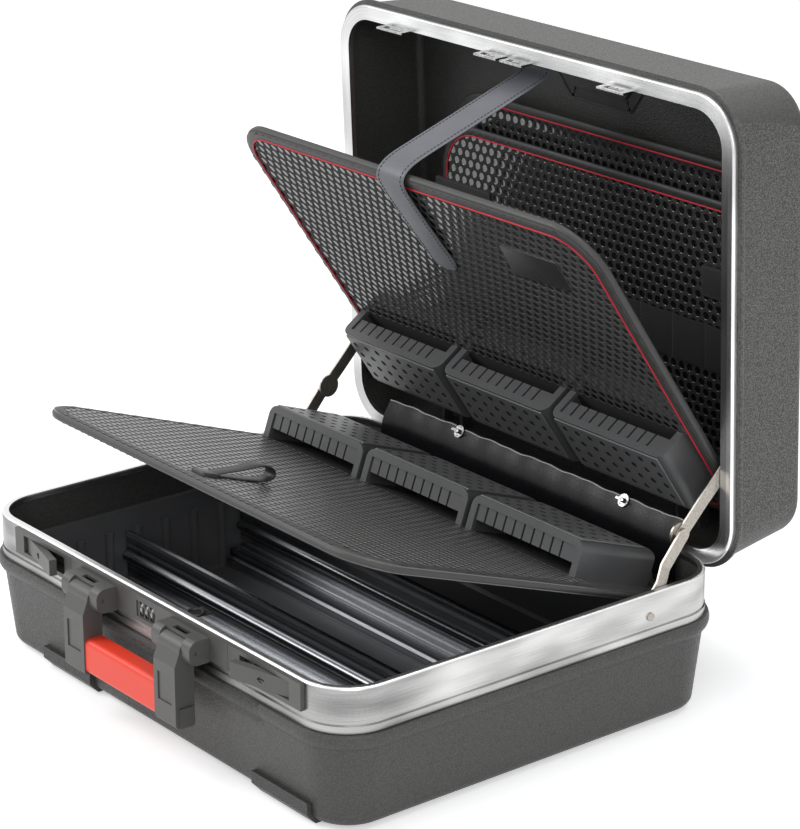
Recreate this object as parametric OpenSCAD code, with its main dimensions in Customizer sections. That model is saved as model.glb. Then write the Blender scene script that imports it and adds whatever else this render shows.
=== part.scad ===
// Hard tool case with an aluminium closing frame, shown open.
// Modelling frame: x across, y back from the front face of the frame, z up from the rim of the base.
// in_frame() moves everything so the box round the whole object stands on z = 0, centred in x and y.

/* [Case] */
// outside width of the closing frame
case_w = 480; // [400:1:520]
// outside depth of the closing frame
case_d = 383.4; // [340:0.2:420]
// outside corner radius of the frame
corner_r = 41.5; // [34:0.5:50]
// height of the base from its bottom to its rim
base_h = 115; // [105:1:130]
// height of the lid from its rim to its top
lid_h = 85; // [78:1:95]
// wall of the plastic shells
wall = 3; // [2.6:0.1:3.6]
// height of the feet under the base
foot_t = 2.5; // [2:0.5:5]

/* [Frame] */
// height of the bright base frame
frame_h = 35.6; // [34:0.2:38]
// width of the rim that the lid closes on
rim_w = 5.6; // [5:0.1:6]
// width of the flat face of the lid frame
lid_face_w = 12.4; // [10:0.1:12.6]
// height of the lid frame
lid_frame_h = 5; // [4:0.1:5.2]

/* [Lid pose] */
// angle the lid stands open
lid_open = 87.56; // [60:0.01:95]
// distance of the hinge axis in front of the back face
hinge_in = 3; // [2.6:0.1:3.4]
// depth of the hinge axis under the rim
hinge_drop = 6.27; // [6:0.01:6.6]

/* [Boards] */
// gap between the tool boards and the outside of the case, each side
board_side = 19.5; // [19.5:0.5:30]
// thickness of the tool boards
board_t = 6; // [5:0.5:6]
// angle the lower board is raised in the open case
lower_rise = 19.54; // [5:0.01:25]
// gap between the free edge of the lower board and the front of the case
lower_front = 20; // [18:0.5:40]
// angle of the upper board to the lid in the open case
upper_swing = 31.79; // [10:0.01:36]
// gap between the free edge of the upper board and the front of the case
upper_front = 28.1; // [24:0.1:50]

/* [Pockets] */
// gap between the row of pockets and the side of its board
row_side = 17.75; // [14:0.25:30]
// gap between one pocket and the next
row_gap = 5.5; // [4:0.5:10]
// height of the lower pockets
lower_pocket_h = 30; // [24:0.5:31]
// height of the upper pockets
upper_pocket_h = 29; // [24:0.5:30]
// depth of the lower pockets
lower_pocket_d = 80; // [60:1:90]
// depth of the upper pockets
upper_pocket_d = 64; // [50:1:70]

/* [Handle] */
// middle of the handle along the front
handle_x = 1; // [-6:0.5:6]
// half the spacing of the handle arms
arm_half = 62.5; // [56:0.5:66]
// length of the arms under their pivots
arm_len = 61; // [50:1:66]
// height of the red grip
grip_h = 29; // [22:0.5:32]

/* [Latches] */
// angle the two levers stand ajar
lever_open = 14.5; // [2:0.5:30]
// width of one lever
lever_w = 59; // [50:0.5:59.5]
// height of one lever
lever_h = 13.5; // [11:0.1:13.8]

/* [Stays] */
// length of the lower link of a stay
stay_l1 = 68.1; // [66:0.1:69]
// length of the upper link of a stay
stay_l2 = 66; // [64:0.5:67]
// width of the links
stay_w = 11; // [8:0.5:12]

/* [Hidden] */
eps = 0.01;
gap_turn = 0.05;
gap_slide = 0.25;
gap_wall = 0.2;
frame_t = 2;
leaf_t = 1.5;
hw = case_w / 2;
cy = case_d / 2;
hinge_y = case_d - hinge_in;
lid_gap = 0.5;
board_w = case_w - 2 * board_side;

// lid shell and shell profile levels
band_z = -41;
wall_top_o = -0.4;
wall_foot_o = -6.8;
floor_in = 14.8;
floor_r = 8;
foot_z = floor_r - base_h;
lid_fillet = 9;
lid_foot_o = -5.5;

// liner
ledge_z = -34;
ledge_o = -11;
liner_o = -13;
liner_t = 2;
liner_floor_z = wall + liner_t - base_h;
rib_pitch = 29;
rib_first = 27;
rib_count = floor((case_d - 2 * rib_first) / rib_pitch) + 1;
rib_r = 3;
rib_top = -50;
divider_top = -52;
rim_h = 4;

// flexible strip over the gap of the hinge, its upper part from cover_p to cover_q
cover_t = 1.4;
cover_x0 = 54 - hw;
cover_x1 = hw - 50;
cover_p = [case_d - 3.4, 12];
cover_q = [case_d + 2.6, 22];
cover_a = atan2(cover_q[1] - cover_p[1], cover_q[0] - cover_p[0]);
cover_n = [sin(cover_a), cos(cover_a)] * cover_t / 2;

// document pockets of the lid and the fingers of the tool pockets
rear_z = lid_h - 18.1;
front_z = lid_h - 32;
rear_side = 45;
front_side = 43;
pocket_rim_w = 6;
pocket_t = 2;
pocket_r = 9;
mouth_leg = 7;
mouth_top = 6.5;
finger_n = 10;
finger_len = 13;
finger_gap = 2;
pocket_w = (board_w - 2 * row_side - 2 * row_gap) / 3;
pocket_pitch = pocket_w + row_gap;
finger_pitch = (pocket_w - 2 * mouth_leg) / (finger_n + 0.5);
strap_t = 1.2;
strap_off = strap_t / 2 + 0.3;

// lock panel, openings and levers
panel_x0 = 56 - hw;
panel_x1 = hw - 38.5;
panel_z0 = -23.2;
panel_z1 = -1.4;
panel_y = -3.7;
open_z = -12.2;
open_h = 14.7;
open_w = 60.6;
open_left = 68.8 - hw;
open_right = hw - 113;
housing_y = 8.2;
lever_back = 1.6;
lever_pivot_in = 12;
key_in = 18;
key_r = 5.2;
dial_x = [-2.5, 4.5, 11.5];
dial_r = 6;
dial_w = 5.6;
dial_y = 2.3;
dial_z = -13;

// handle
arm_w = 28;
ear_w = 10.8;
pivot_y = -14.5;
pivot_z = -16;
arm_front = -28;
arm_back = -10.5;
hub_r = 9;
pin_r = 3;
bracket_top = -4.5;
plate_t = 1.5;

// hinges
barrel_r = 2.9;
hinge_pin_r = 1.4;
hinge_x = hw - 100;
hinge_w = 90;
knuckle_w = 17.6;
knuckle_pitch = 18;

// stays
stay_ay = case_d - 81.4;
stay_az = -19;
stay_t = 1.8;
stay_outer = hw - 8;
stay_mid = hw - 13.1;
stay_inner = hw - 15;
knee_a = 49.93;
link_a = 45.4;
disc_r = 10;
stay_ky = stay_ay + stay_l1 * cos(knee_a);
stay_kz = stay_az + stay_l1 * sin(knee_a);
stay_by = stay_ky + stay_l2 * cos(link_a);
stay_bz = stay_kz + stay_l2 * sin(link_a);
post_y = hinge_y + (stay_by - hinge_y) * cos(lid_open) - (stay_bz + hinge_drop) * sin(lid_open);
post_z = -hinge_drop + (stay_by - hinge_y) * sin(lid_open) + (stay_bz + hinge_drop) * cos(lid_open);

// boards: the pivots are at mid thickness
low_py = case_d - 19.4;
low_pz = -31;
up_py = case_d - 25.3;
up_pz = 45.2;
lower_len = low_py - lower_front;
upper_len = up_py - upper_front;
lug_r = 4;
lug_w = 20;
lug_gap = 0.5;
ear_t = 4;
lug_x = board_w / 2 - 70.5;
rest_x = board_w / 2 - 50.5;
bind_w = 9;
bind_t = 0.8;
board_back = 6;
board_r = 42;
mouth_y = 106;
seat_gap = 0.2;
row_shift_low = -8;
row_shift_up = 0;

// extent of the whole object in the open pose, for centring it
back_y = hinge_y + (case_d + lid_foot_o - lid_fillet - hinge_y) * cos(lid_open)
    + (lid_h - lid_fillet + hinge_drop) * sin(lid_open) + lid_fillet;
front_y = arm_front;
y_mid = (front_y + back_y) / 2;
lift = base_h + foot_t;

plastic = "#5a5a56";
dark = "#2b2c2e";
metal = "#c9cbcd";
nickel = "#b9b4a8";
red = "#e8452c";
cloth = "#6a6d74";

// ---- placement ----

module in_frame() translate([0, -y_mid, lift]) children();

// closed lid coordinates to the open pose
module on_lid() translate([0, hinge_y, -hinge_drop]) rotate([-lid_open, 0, 0])
    translate([0, -hinge_y, hinge_drop]) children();

// board coordinates: pivot at the origin, the free edge towards -y, tool side up
module on_lower() translate([0, low_py, low_pz]) rotate([-lower_rise, 0, 0]) children();

module on_upper() on_lid() translate([0, up_py, up_pz]) rotate([upper_swing, 0, 0])
    mirror([0, 0, 1]) children();

module both_sides() {
    children();
    mirror([1, 0, 0]) children();
}

// ---- shared shapes ----

// axis-aligned box from its low to its high corner
module span(lo, hi) translate(lo) cube(hi - lo);

// sweeps a profile (x outward, y up) round a rounded rectangle w by d, centred
module ring_sweep(w, d, r) {
    for (a = [0:3]) {
        sx = (a % 2 == 0 ? w : d) / 2;
        sy = (a % 2 == 0 ? d : w) / 2;
        rotate([0, 0, 90 * a]) {
            translate([sx, sy - r, 0]) rotate([90, 0, 0])
                linear_extrude(height = 2 * (sy - r)) children();
            translate([sx - r, sy - r, 0]) rotate_extrude(angle = 90, $fn = 96)
                translate([r, 0]) children();
        }
    }
}

module case_ring() translate([0, cy, 0]) ring_sweep(case_w, case_d, corner_r) children();

module round_rect(w, d, r) {
    square([w - 2 * r, d], center = true);
    square([w, d - 2 * r], center = true);
    for (sx = [-1, 1], sy = [-1, 1])
        translate([sx * (w / 2 - r), sy * (d / 2 - r)]) circle(r = r, $fn = 96);
}

// plate that fills the case outline, set in by o, from z0 to z1
module case_plate(o, z0, z1) translate([0, cy, z0]) linear_extrude(height = z1 - z0)
    round_rect(case_w - 2 * o, case_d - 2 * o, corner_r - o);

module rod_x(r, x0, x1, y, z, n = 48) translate([x0, y, z]) rotate([0, 90, 0])
    cylinder(r = r, h = x1 - x0, $fn = n);

// profile given in (y, z), pushed along x
module along_x(x0, x1) translate([x0, 0, 0]) rotate([90, 0, 90])
    linear_extrude(height = x1 - x0) children();

// profile given in (x, z), pushed along y
module along_y(y0, y1) translate([0, y1, 0]) rotate([90, 0, 0])
    linear_extrude(height = y1 - y0) children();

// thin bent sheet through points in (y, z)
function along(p, i) = (p[i + 1] - p[i]) / norm(p[i + 1] - p[i]);
function across(p, i) = [-along(p, i)[1], along(p, i)[0]];
function mitre(p, i) = i == 0 ? across(p, 0) : i == len(p) - 1 ? across(p, i - 1) :
    (across(p, i - 1) + across(p, i)) / (1 + across(p, i - 1) * across(p, i));

module bent(points, t) polygon([
    for (i = [0:len(points) - 1]) points[i] + mitre(points, i) * t / 2,
    for (i = [len(points) - 1:-1:0]) points[i] - mitre(points, i) * t / 2
]);

module hinge_notch() both_sides()
    span([hinge_x - hinge_w / 2 - 0.5, case_d - 10, -10], [hinge_x + hinge_w / 2 + 0.5, case_d + 4, 1]);

module housing_cuts(m) {
    for (x = [open_left, open_right])
        span([x - 1 - m, -6, open_z - open_h / 2 - 1 - m],
            [x + open_w + 1 + m, 12, open_z + open_h / 2 + 1 + m]);
    span([dial_x[0] - 5 - m, -6, dial_z - 7.4 - m], [dial_x[2] + 5 + m, 12, dial_z + 7.4 + m]);
}

// ---- base ----

module shell_profile() {
    translate([-rim_w + 0.6, -40]) square([2.8, 40 - lid_frame_h]);
    intersection() {
        translate([-5.4, band_z]) circle(r = 10, $fn = 96);
        translate([-5, -49]) square([20, 13]);
    }
    polygon([[wall_top_o, -48.9], [wall_foot_o, foot_z], [wall_foot_o - wall, foot_z], [-5, -44]]);
    intersection() {
        difference() {
            translate([-floor_in, foot_z]) circle(r = floor_r, $fn = 96);
            translate([-floor_in, foot_z]) circle(r = floor_r - wall, $fn = 96);
        }
        translate([-floor_in, -base_h]) square([floor_r, floor_r + eps]);
    }
}

module base_shell() color(plastic) in_frame() difference() {
    union() {
        case_ring() shell_profile();
        case_plate(floor_in - eps, -base_h, -base_h + wall);
    }
    hinge_notch();
    housing_cuts(0);
    both_sides() rod_x(2.4 + gap_turn, hw - 8, hw, stay_ay, stay_az);
}

module base_frame_profile() {
    translate([-frame_t, -frame_h]) square([frame_t, frame_h - 2.5]);
    translate([-rim_w, -lid_frame_h]) square([rim_w - 2.5, lid_frame_h]);
    translate([-2.5, -lid_frame_h]) square([2.5, lid_frame_h - 2.5]);
    translate([-2.5, -2.5]) circle(r = 2.5, $fn = 48);
    translate([-frame_t, -frame_h]) square([frame_t + 0.8, 5.8]);
}

module base_frame() color(metal) in_frame() difference() {
    case_ring() base_frame_profile();
    case_ring() translate([-0.5, -29.2]) square([2, 0.8]);
    hinge_notch();
    housing_cuts(0);
    both_sides() rod_x(2.4 + gap_turn, hw - 8, hw + 1, stay_ay, stay_az);
}

liner_back = [[ledge_o + 1.6, ledge_z - 2], [-11.4, foot_z], [-15.4, -base_h + wall]];

module liner_profile() polygon(concat([[-5.2, ledge_z], [-5.2, ledge_z - 2]], liner_back,
    [[-16, -base_h + wall], [-16, liner_floor_z], [liner_o - 2.4, liner_floor_z], [liner_o, foot_z],
    [ledge_o, ledge_z - 1], [ledge_o, ledge_z]]));

// half-round ribs on one side wall, cut flush with the back of the liner
module liner_ribs() difference() {
    for (i = [1:rib_count - 2])
        translate([hw - 11.7, rib_first + rib_pitch * i, liner_floor_z])
            cylinder(r = rib_r + 1.2, h = rib_top - liner_floor_z, $fn = 32);
    translate([hw, 0, 0]) along_y(0, case_d) polygon(concat(liner_back, [[20, -base_h], [20, ledge_z - 2]]));
}

module board_ears(py, pz, y_wall) for (s = [-1, 1], e = [-1, 1]) {
    x = s * lug_x + e * (lug_w / 2 + lug_gap + ear_t / 2);
    along_x(x - ear_t / 2, x + ear_t / 2) {
        translate([py, pz]) circle(r = lug_r + 1, $fn = 48);
        translate([py, pz - lug_r - 1]) square([y_wall - py, 2 * lug_r + 2]);
    }
}

module board_pins(py, pz) for (s = [-1, 1])
    rod_x(2, s * lug_x - lug_w / 2 - lug_gap - eps, s * lug_x + lug_w / 2 + lug_gap + eps, py, pz);

module base_liner() color(dark) in_frame() {
    case_ring() liner_profile();
    case_plate(15.4, -base_h + wall, liner_floor_z);
    both_sides() liner_ribs();
    difference() {
        board_ears(low_py, low_pz, case_d - 8);
        case_ring() translate([-5.2, -60]) square([20, 80]);
    }
    board_pins(low_py, low_pz);
    both_sides() span([rest_x - 12, 9, low_pz - board_t / 2 - bind_t - 2.1],
        [rest_x + 12, 26, low_pz - board_t / 2 - bind_t - 0.1]);
}

// aluminium divider: panel between the ribs with a double rim, a half-round ridge and stepped foot
module divider(y, ridge_drop, foot_y0) {
    x1 = hw + liner_o - 0.4;
    foot_x1 = hw - 11.7 - rib_r - 1.2 - 0.3;
    z0 = liner_floor_z;
    along_x(-x1, x1) {
        translate([y - 1.5, z0 + 4]) square([3, divider_top - z0 - 4]);
        translate([y - 2, divider_top - rim_h]) square([1.2, rim_h]);
        translate([y + 0.8, divider_top - rim_h]) square([1.2, rim_h]);
        intersection() {
            translate([y - 1.2, divider_top - ridge_drop]) circle(r = 4.5, $fn = 48);
            translate([y - 10, divider_top - ridge_drop - 10]) square([10, 20]);
        }
    }
    along_x(-foot_x1, foot_x1) {
        translate([y - 1.5, z0]) square([3, 4.5]);
        translate([foot_y0 + 3, z0 + 13]) square([y - foot_y0 - 3, 3]);
        translate([foot_y0, z0]) square([22.4, 2.5]);
        translate([foot_y0, z0]) square([2, 8]);
        translate([foot_y0 + 3, z0 + 6]) square([2, 10]);
        translate([foot_y0, z0 + 6]) square([5, 2]);
        translate([foot_y0 + 20.4, z0]) square([2, 12]);
        translate([y, z0 + 11]) square([foot_y0 + 22.4 - y, 2]);
    }
}

module divider_front() color(metal) in_frame()
    divider(rib_first + 105, 22.5, rib_first + rib_pitch * 3 + rib_r + 0.3);

module divider_rear() color(metal) in_frame()
    divider(rib_first + 224, 24, rib_first + rib_pitch * 7 + rib_r + 0.3);

module lever_box(x0) difference() {
    span([x0 - 1, 0, open_z - open_h / 2 - 1], [x0 + open_w + 1, housing_y, open_z + open_h / 2 + 1]);
    span([x0, -1, open_z - open_h / 2], [x0 + open_w, housing_y - 1, open_z + open_h / 2]);
}

module lock_panel() color(plastic) in_frame() {
    difference() {
        span([panel_x0, panel_y, panel_z0], [panel_x1, 0, panel_z1]);
        for (x = [open_left, open_right])
            span([x, -10, open_z - open_h / 2], [x + open_w, 1, open_z + open_h / 2]);
        span([dial_x[0] - 6, panel_y - 1, dial_z - 6.6], [dial_x[2] + 6, panel_y + 1, dial_z + 6.6]);
        for (x = dial_x)
            span([x - dial_w / 2 - gap_slide, -10, dial_z - dial_r + 0.1],
                [x + dial_w / 2 + gap_slide, 1, dial_z + dial_r - 0.1]);
        for (x = [open_left + open_w + 9.6, open_right - 15])
            span([x, panel_y - 1, panel_z0 - 1], [x + 0.4, 1, panel_z1 + 1]);
    }
    lever_box(open_left);
    lever_box(open_right);
    difference() {
        span([dial_x[0] - 5, 0, dial_z - 7.4], [dial_x[2] + 5, 9.4, dial_z + 7.4]);
        span([dial_x[0] - 4, -1, dial_z - 6.4], [dial_x[2] + 4, 8.7, dial_z + 6.4]);
    }
    rod_x(1, dial_x[0] - 4.5, dial_x[2] + 4.5, dial_y, dial_z);
    for (x = [open_left + lever_pivot_in, open_right + open_w - lever_pivot_in])
        translate([x, 0, open_z - open_h / 2 - 0.5]) cylinder(r = 1.2, h = open_h + 1, $fn = 32);
    span([open_left + open_w - 9, 3.2, open_z - 6], [open_left + open_w + 0.5, housing_y, open_z + 6]);
    span([open_right - 0.5, 3.2, open_z - 6], [open_right + 9, housing_y, open_z + 6]);
}

// clevis that carries one arm of the handle, centred at x = 0
module bracket() {
    half = arm_w / 2 + gap_slide + ear_w;
    difference() {
        union() {
            for (s = [-1, 1]) {
                x = s * (arm_w / 2 + gap_slide + ear_w / 2);
                along_x(x - ear_w / 2, x + ear_w / 2) {
                    translate([pivot_y, pivot_z + 4]) circle(r = 7.4, $fn = 48);
                    translate([pivot_y, pivot_z - 1]) circle(r = 7.4, $fn = 48);
                    translate([pivot_y - 7.4, pivot_z - 1]) square([14.8, 5]);
                    translate([pivot_y, pivot_z - 8.4]) square([panel_y - pivot_y, -8.4 - pivot_z + 11.4]);
                    translate([pivot_y, pivot_z + 4 - 7.4]) square([panel_y - pivot_y, 14.9]);
                }
            }
            span([-half, pivot_y - 1, bracket_top - 2], [half, panel_y, bracket_top]);
            span([-half, panel_y - plate_t, pivot_z - 8.4], [half, panel_y, bracket_top]);
        }
        span([-9, pivot_y + 1, bracket_top - 4], [9, pivot_y + 6, bracket_top + 1]);
        rod_x(1.6, half - 0.8, half + 1, pivot_y - 2, pivot_z + 2);
    }
    rod_x(pin_r, -half + 1, half - 1, pivot_y, pivot_z);
}

module bracket_left() color(plastic) in_frame() translate([handle_x - arm_half, 0, 0]) bracket();
module bracket_right() color(plastic) in_frame() translate([handle_x + arm_half, 0, 0]) bracket();

// clip-on foot from x0 to x1 at the front edge of the base
module foot(x0, x1) along_x(x0, x1) difference() {
    polygon([[2.2, foot_z + 8], [2.2, foot_z - 2], [10, -base_h - foot_t], [36, -base_h - foot_t],
        [36, -base_h], [14, -base_h], [9, foot_z + 8]]);
    polygon([[-wall_top_o, -48.9], [-wall_foot_o, foot_z], [60, foot_z], [60, -48.9]]);
    translate([floor_in, foot_z]) circle(r = floor_r, $fn = 96);
    translate([floor_in, -base_h]) square([40, floor_r + 1]);
}

module rear_foot(x0, x1) translate([0, case_d, 0]) mirror([0, 1, 0]) foot(x0, x1);

module foot_front_left() color(plastic) in_frame() foot(82 - hw, 151 - hw);
module foot_front_right() color(plastic) in_frame() foot(hw - 109, hw - 40);
module foot_rear_left() color(plastic) in_frame() rear_foot(82 - hw, 151 - hw);
module foot_rear_right() color(plastic) in_frame() rear_foot(hw - 109, hw - 40);

// base half of a hinge with its pin, centred at x = 0
module hinge_base() {
    y0 = case_d - 5 - leaf_t;
    difference() {
        union() {
            span([-hinge_w / 2, y0, -30], [hinge_w / 2, y0 + leaf_t, -hinge_drop]);
            for (i = [-2, 0, 2]) {
                x0 = i * knuckle_pitch - knuckle_w / 2;
                rod_x(barrel_r, x0, x0 + knuckle_w, hinge_y, -hinge_drop);
                span([x0, y0, -hinge_drop - 1.4], [x0 + knuckle_w, hinge_y, -hinge_drop + 0.4]);
            }
        }
        for (i = [-1, 1])
            span([i * knuckle_pitch - knuckle_w / 2 - 0.4, y0 - 1, -11],
                [i * knuckle_pitch + knuckle_w / 2 + 0.4, hinge_y + 4, 0]);
        for (x = [-30, 0, 30])
            translate([x, y0 - 1, -22]) rotate([-90, 0, 0]) cylinder(r = 2, h = 1.8, $fn = 32);
    }
    rod_x(hinge_pin_r, -hinge_w / 2 + 1, hinge_w / 2 - 1, hinge_y, -hinge_drop, 32);
}

module hinge_base_left() color(nickel) in_frame() translate([-hinge_x, 0, 0]) hinge_base();
module hinge_base_right() color(nickel) in_frame() translate([hinge_x, 0, 0]) hinge_base();

// lid half of a hinge in closed lid coordinates
module hinge_lid() difference() {
    union() {
        span([-hinge_w / 2, case_d - 12, -1], [hinge_w / 2, case_d - 0.4, lid_gap]);
        for (i = [-1, 1]) {
            x0 = i * knuckle_pitch - knuckle_w / 2;
            rod_x(barrel_r, x0, x0 + knuckle_w, hinge_y, -hinge_drop);
            span([x0, hinge_y - 1.2, -hinge_drop], [x0 + knuckle_w, hinge_y + 1.2, 0]);
        }
    }
    rod_x(hinge_pin_r + gap_turn, -hinge_w, hinge_w, hinge_y, -hinge_drop, 32);
}

module hinge_lid_left() color(nickel) in_frame() on_lid() translate([-hinge_x, 0, 0]) hinge_lid();
module hinge_lid_right() color(nickel) in_frame() on_lid() translate([hinge_x, 0, 0]) hinge_lid();

// tongue on the inside of the front rim
module snap_tab() color(dark) in_frame() {
    span([24, rim_w, -14], [52, rim_w + 2, -5.5]);
    translate([38, rim_w + 15, -10]) difference() {
        union() {
            span([-9, -15, 0], [9, 0, 2]);
            cylinder(r = 9, h = 2, $fn = 48);
        }
        translate([0, 0, -1]) cylinder(r = 5, h = 4, $fn = 32);
    }
}

module stay_rivet() {
    rod_x(2.4, stay_outer - 1.4, hw, stay_ay, stay_az);
    rod_x(3.4, hw, hw + 1.2, stay_ay, stay_az);
    rod_x(4, stay_outer - 1.4, stay_outer - 0.3, stay_ay, stay_az);
    difference() {
        rod_x(4, stay_outer + stay_t + 0.3, hw - 5, stay_ay, stay_az);
        rod_x(2, stay_outer, hw, stay_ay, stay_az);
    }
}

module stay_rivet_right() color(nickel) in_frame() stay_rivet();
module stay_rivet_left() color(nickel) in_frame() mirror([1, 0, 0]) stay_rivet();

// flexible strip that covers the gap of the hinge
module hinge_cover() color(cloth) in_frame()
    along_x(cover_x0, cover_x1)
        bent([[case_d - 8.4, low_pz + lug_r + 1.5], [case_d - 7.4, 2], cover_p, cover_q], cover_t);

module stud(x) translate([x, cover_p[0] + 4.5 - cover_n[0], cover_p[1] + 7.5 + cover_n[1]])
    rotate([cover_a, 0, 0]) {
    cylinder(r = 5.5, h = 1.6, $fn = 48);
    cylinder(r = 2, h = 5, $fn = 32);
    translate([-4.5, -1, 1.6]) cube([9, 2, 5]);
}

module stud_left() color(nickel) in_frame() stud(cover_x0 + 98);
module stud_right() color(nickel) in_frame() stud(cover_x1 - 70);

// ---- lid ----

module lid_shell_profile() {
    intersection() {
        translate([-3.2, 6.2]) circle(r = 7, $fn = 96);
        translate([-2.4, lid_frame_h + 0.7]) square([12, 5]);
    }
    polygon([[0.6, 10.6], [-2.4, 10.6], [-2.4, lid_frame_h + 0.7], [-5.4, lid_frame_h + lid_gap],
        [-5.4, 12], [lid_foot_o - wall, lid_h - 8], [lid_foot_o, lid_h - 8]]);
    intersection() {
        difference() {
            translate([lid_foot_o - lid_fillet, lid_h - lid_fillet]) circle(r = lid_fillet, $fn = 96);
            translate([lid_foot_o - lid_fillet, lid_h - lid_fillet]) circle(r = lid_fillet - wall, $fn = 96);
        }
        translate([lid_foot_o - lid_fillet, lid_h - lid_fillet]) square([lid_fillet, lid_fillet]);
    }
    translate([lid_foot_o - wall, lid_h - lid_fillet - 0.2]) square([wall, 1.3]);
}

module lid_shell() color(plastic) in_frame() on_lid() {
    case_ring() lid_shell_profile();
    case_plate(lid_fillet - lid_foot_o - eps, lid_h - wall, lid_h);
    difference() {
        board_ears(up_py, up_pz, case_d - 5);
        case_ring() translate([-6.2, 0]) square([20, 90]);
    }
    board_pins(up_py, up_pz);
}

module lid_frame() color(metal) in_frame() on_lid() case_ring() {
    translate([-lid_face_w, lid_gap]) square([lid_face_w - 2, lid_frame_h]);
    translate([-2, lid_gap + 2]) square([2, lid_frame_h - 2]);
    translate([-2, lid_gap + 2]) circle(r = 2, $fn = 48);
}

// loop that hangs from the lid frame for the latch to hook
module catch_loop(x0, x1) difference() {
    union() {
        span([x0, 0, -9], [x1, 1.6, lid_gap + lid_frame_h + 1.5]);
        span([x0, -7, lid_gap + lid_frame_h], [x1, 1.6, lid_gap + lid_frame_h + 1.5]);
    }
    span([x0 + 5, -1, -6.5], [x1 - 5, 3, -1.5]);
}

module on_front_flange() on_lid() translate([0, lid_face_w, 0]) children();

module catch_left() color(dark) in_frame() on_front_flange() catch_loop(open_left - 3.8, open_left + 29.7);
module catch_mid() color(dark) in_frame() on_front_flange() {
    catch_loop(-48.5, -21);
    catch_loop(-16, 10.7);
    span([-21.5, -7, lid_gap + lid_frame_h], [-15.5, 1.6, lid_gap + lid_frame_h + 1.5]);
}
module catch_right() color(dark) in_frame() on_front_flange() catch_loop(open_right - 28, open_right + 2.7);

// post on the lid that the upper link of a stay ends at, closed lid coordinates
module stay_post() {
    x0 = hw - lid_face_w + 0.3;
    z0 = lid_gap + lid_frame_h;
    span([x0, post_y - 7, z0], [hw - 8, post_y + 7, z0 + 1.5]);
    span([x0, post_y - 7, z0], [x0 + 1.5, post_y + 7, post_z + 6]);
}

module stay_post_right() color(nickel) in_frame() on_lid() stay_post();
module stay_post_left() color(nickel) in_frame() on_lid() mirror([1, 0, 0]) stay_post();

// document pockets on the inside of the lid, closed lid coordinates
module pocket_sheet(side, y0, y1, z0, t) translate([0, (y0 + y1) / 2, z0])
    linear_extrude(height = t) round_rect(case_w - 2 * side, y1 - y0, 16);

// glued edge along three sides, from the plane z0 up by t, its mouth towards y0
module pocket_rim(side, y0, y1, z0, t) difference() {
    pocket_sheet(side, y0, y1, z0, t);
    pocket_sheet(side + pocket_rim_w, y0 + pocket_rim_w, y1 - pocket_rim_w, z0 - 1, t + 2);
    span([-hw, y0 - 1, z0 - 1], [hw, y0 + 30, z0 + t + 1]);
}

module rear_pocket() color(cloth) in_frame() on_lid() {
    pocket_sheet(rear_side, 80, case_d - 19.4, rear_z, 1.5);
    pocket_rim(rear_side, 120, case_d - 19.4, rear_z + 1.5, lid_h - wall - rear_z - 1.5);
}

module front_pocket() color(dark) in_frame() on_lid() {
    pocket_sheet(front_side, 104.5, case_d - 21.4, front_z, 2);
    pocket_rim(front_side, 200, case_d - 21.4, front_z + 2, rear_z - front_z - 2);
}

module webbing() color(cloth) in_frame() on_lid()
    span([hw - 210, 206.5, front_z - 1.6], [hw - 50, 243.5, front_z]);

// (y, z) of a point given in closed lid coordinates, and of one in upper board coordinates
function turned(p, deg, c) = c + [(p - c) * [cos(deg), -sin(deg)], (p - c) * [sin(deg), cos(deg)]];
function lid_yz(p) = turned(p, -lid_open, [hinge_y, -hinge_drop]);
function upper_yz(p) = lid_yz(turned([up_py + p[0], up_pz - p[1]], upper_swing, [up_py, up_pz]));

// strap that sags from the front wall of the lid over the edge of the upper board, down its face
module strap() color(cloth) in_frame() {
    wall_y = 6.3 + strap_off;
    edge_y = -upper_len - strap_off;
    over_z = board_t / 2 + bind_t + strap_off;
    along_x(-20, 14) bent([lid_yz([wall_y + 0.7, 46]), lid_yz([wall_y, 33]), lid_yz([16, 25]),
        upper_yz([edge_y + 33, -148]), upper_yz([edge_y + 22, -117]), upper_yz([edge_y + 11, -87]),
        upper_yz([edge_y + 2, -57]), upper_yz([edge_y - 3, -28]), upper_yz([edge_y, over_z]),
        upper_yz([bind_w - upper_len, over_z]), upper_yz([bind_w - upper_len + 5, over_z - bind_t]),
        upper_yz([mouth_y - upper_len, over_z - bind_t])], strap_t);
}

// ---- handle ----

// arm between its pivot and the foot, centred at x = 0, the foot wider towards +x
module arm() difference() {
    union() {
        along_x(-arm_w / 2, arm_w / 2) {
            translate([pivot_y, pivot_z]) circle(r = hub_r, $fn = 64);
            polygon([[arm_front, pivot_z - 11], [pivot_y - hub_r, pivot_z], [pivot_y, pivot_z + 2],
                [arm_back, pivot_z - 4], [arm_back, pivot_z - arm_len], [arm_front + 2, pivot_z - arm_len],
                [arm_front, pivot_z - arm_len + 2]]);
        }
        span([0, arm_front + 3, pivot_z - arm_len], [arm_w / 2 + 1.6, arm_back - 2, pivot_z - arm_len + 16]);
    }
    rod_x(pin_r + gap_turn, -arm_w, arm_w, pivot_y, pivot_z);
    span([-arm_w / 2 + 5, arm_front - 1, pivot_z - arm_len + 18],
        [arm_w / 2 - 5, arm_front + 1, pivot_z - 20]);
}

module handle_arm_left() color(plastic) in_frame()
    translate([handle_x - arm_half, 0, 0]) mirror([1, 0, 0]) arm();
module handle_arm_right() color(plastic) in_frame() translate([handle_x + arm_half, 0, 0]) arm();

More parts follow.
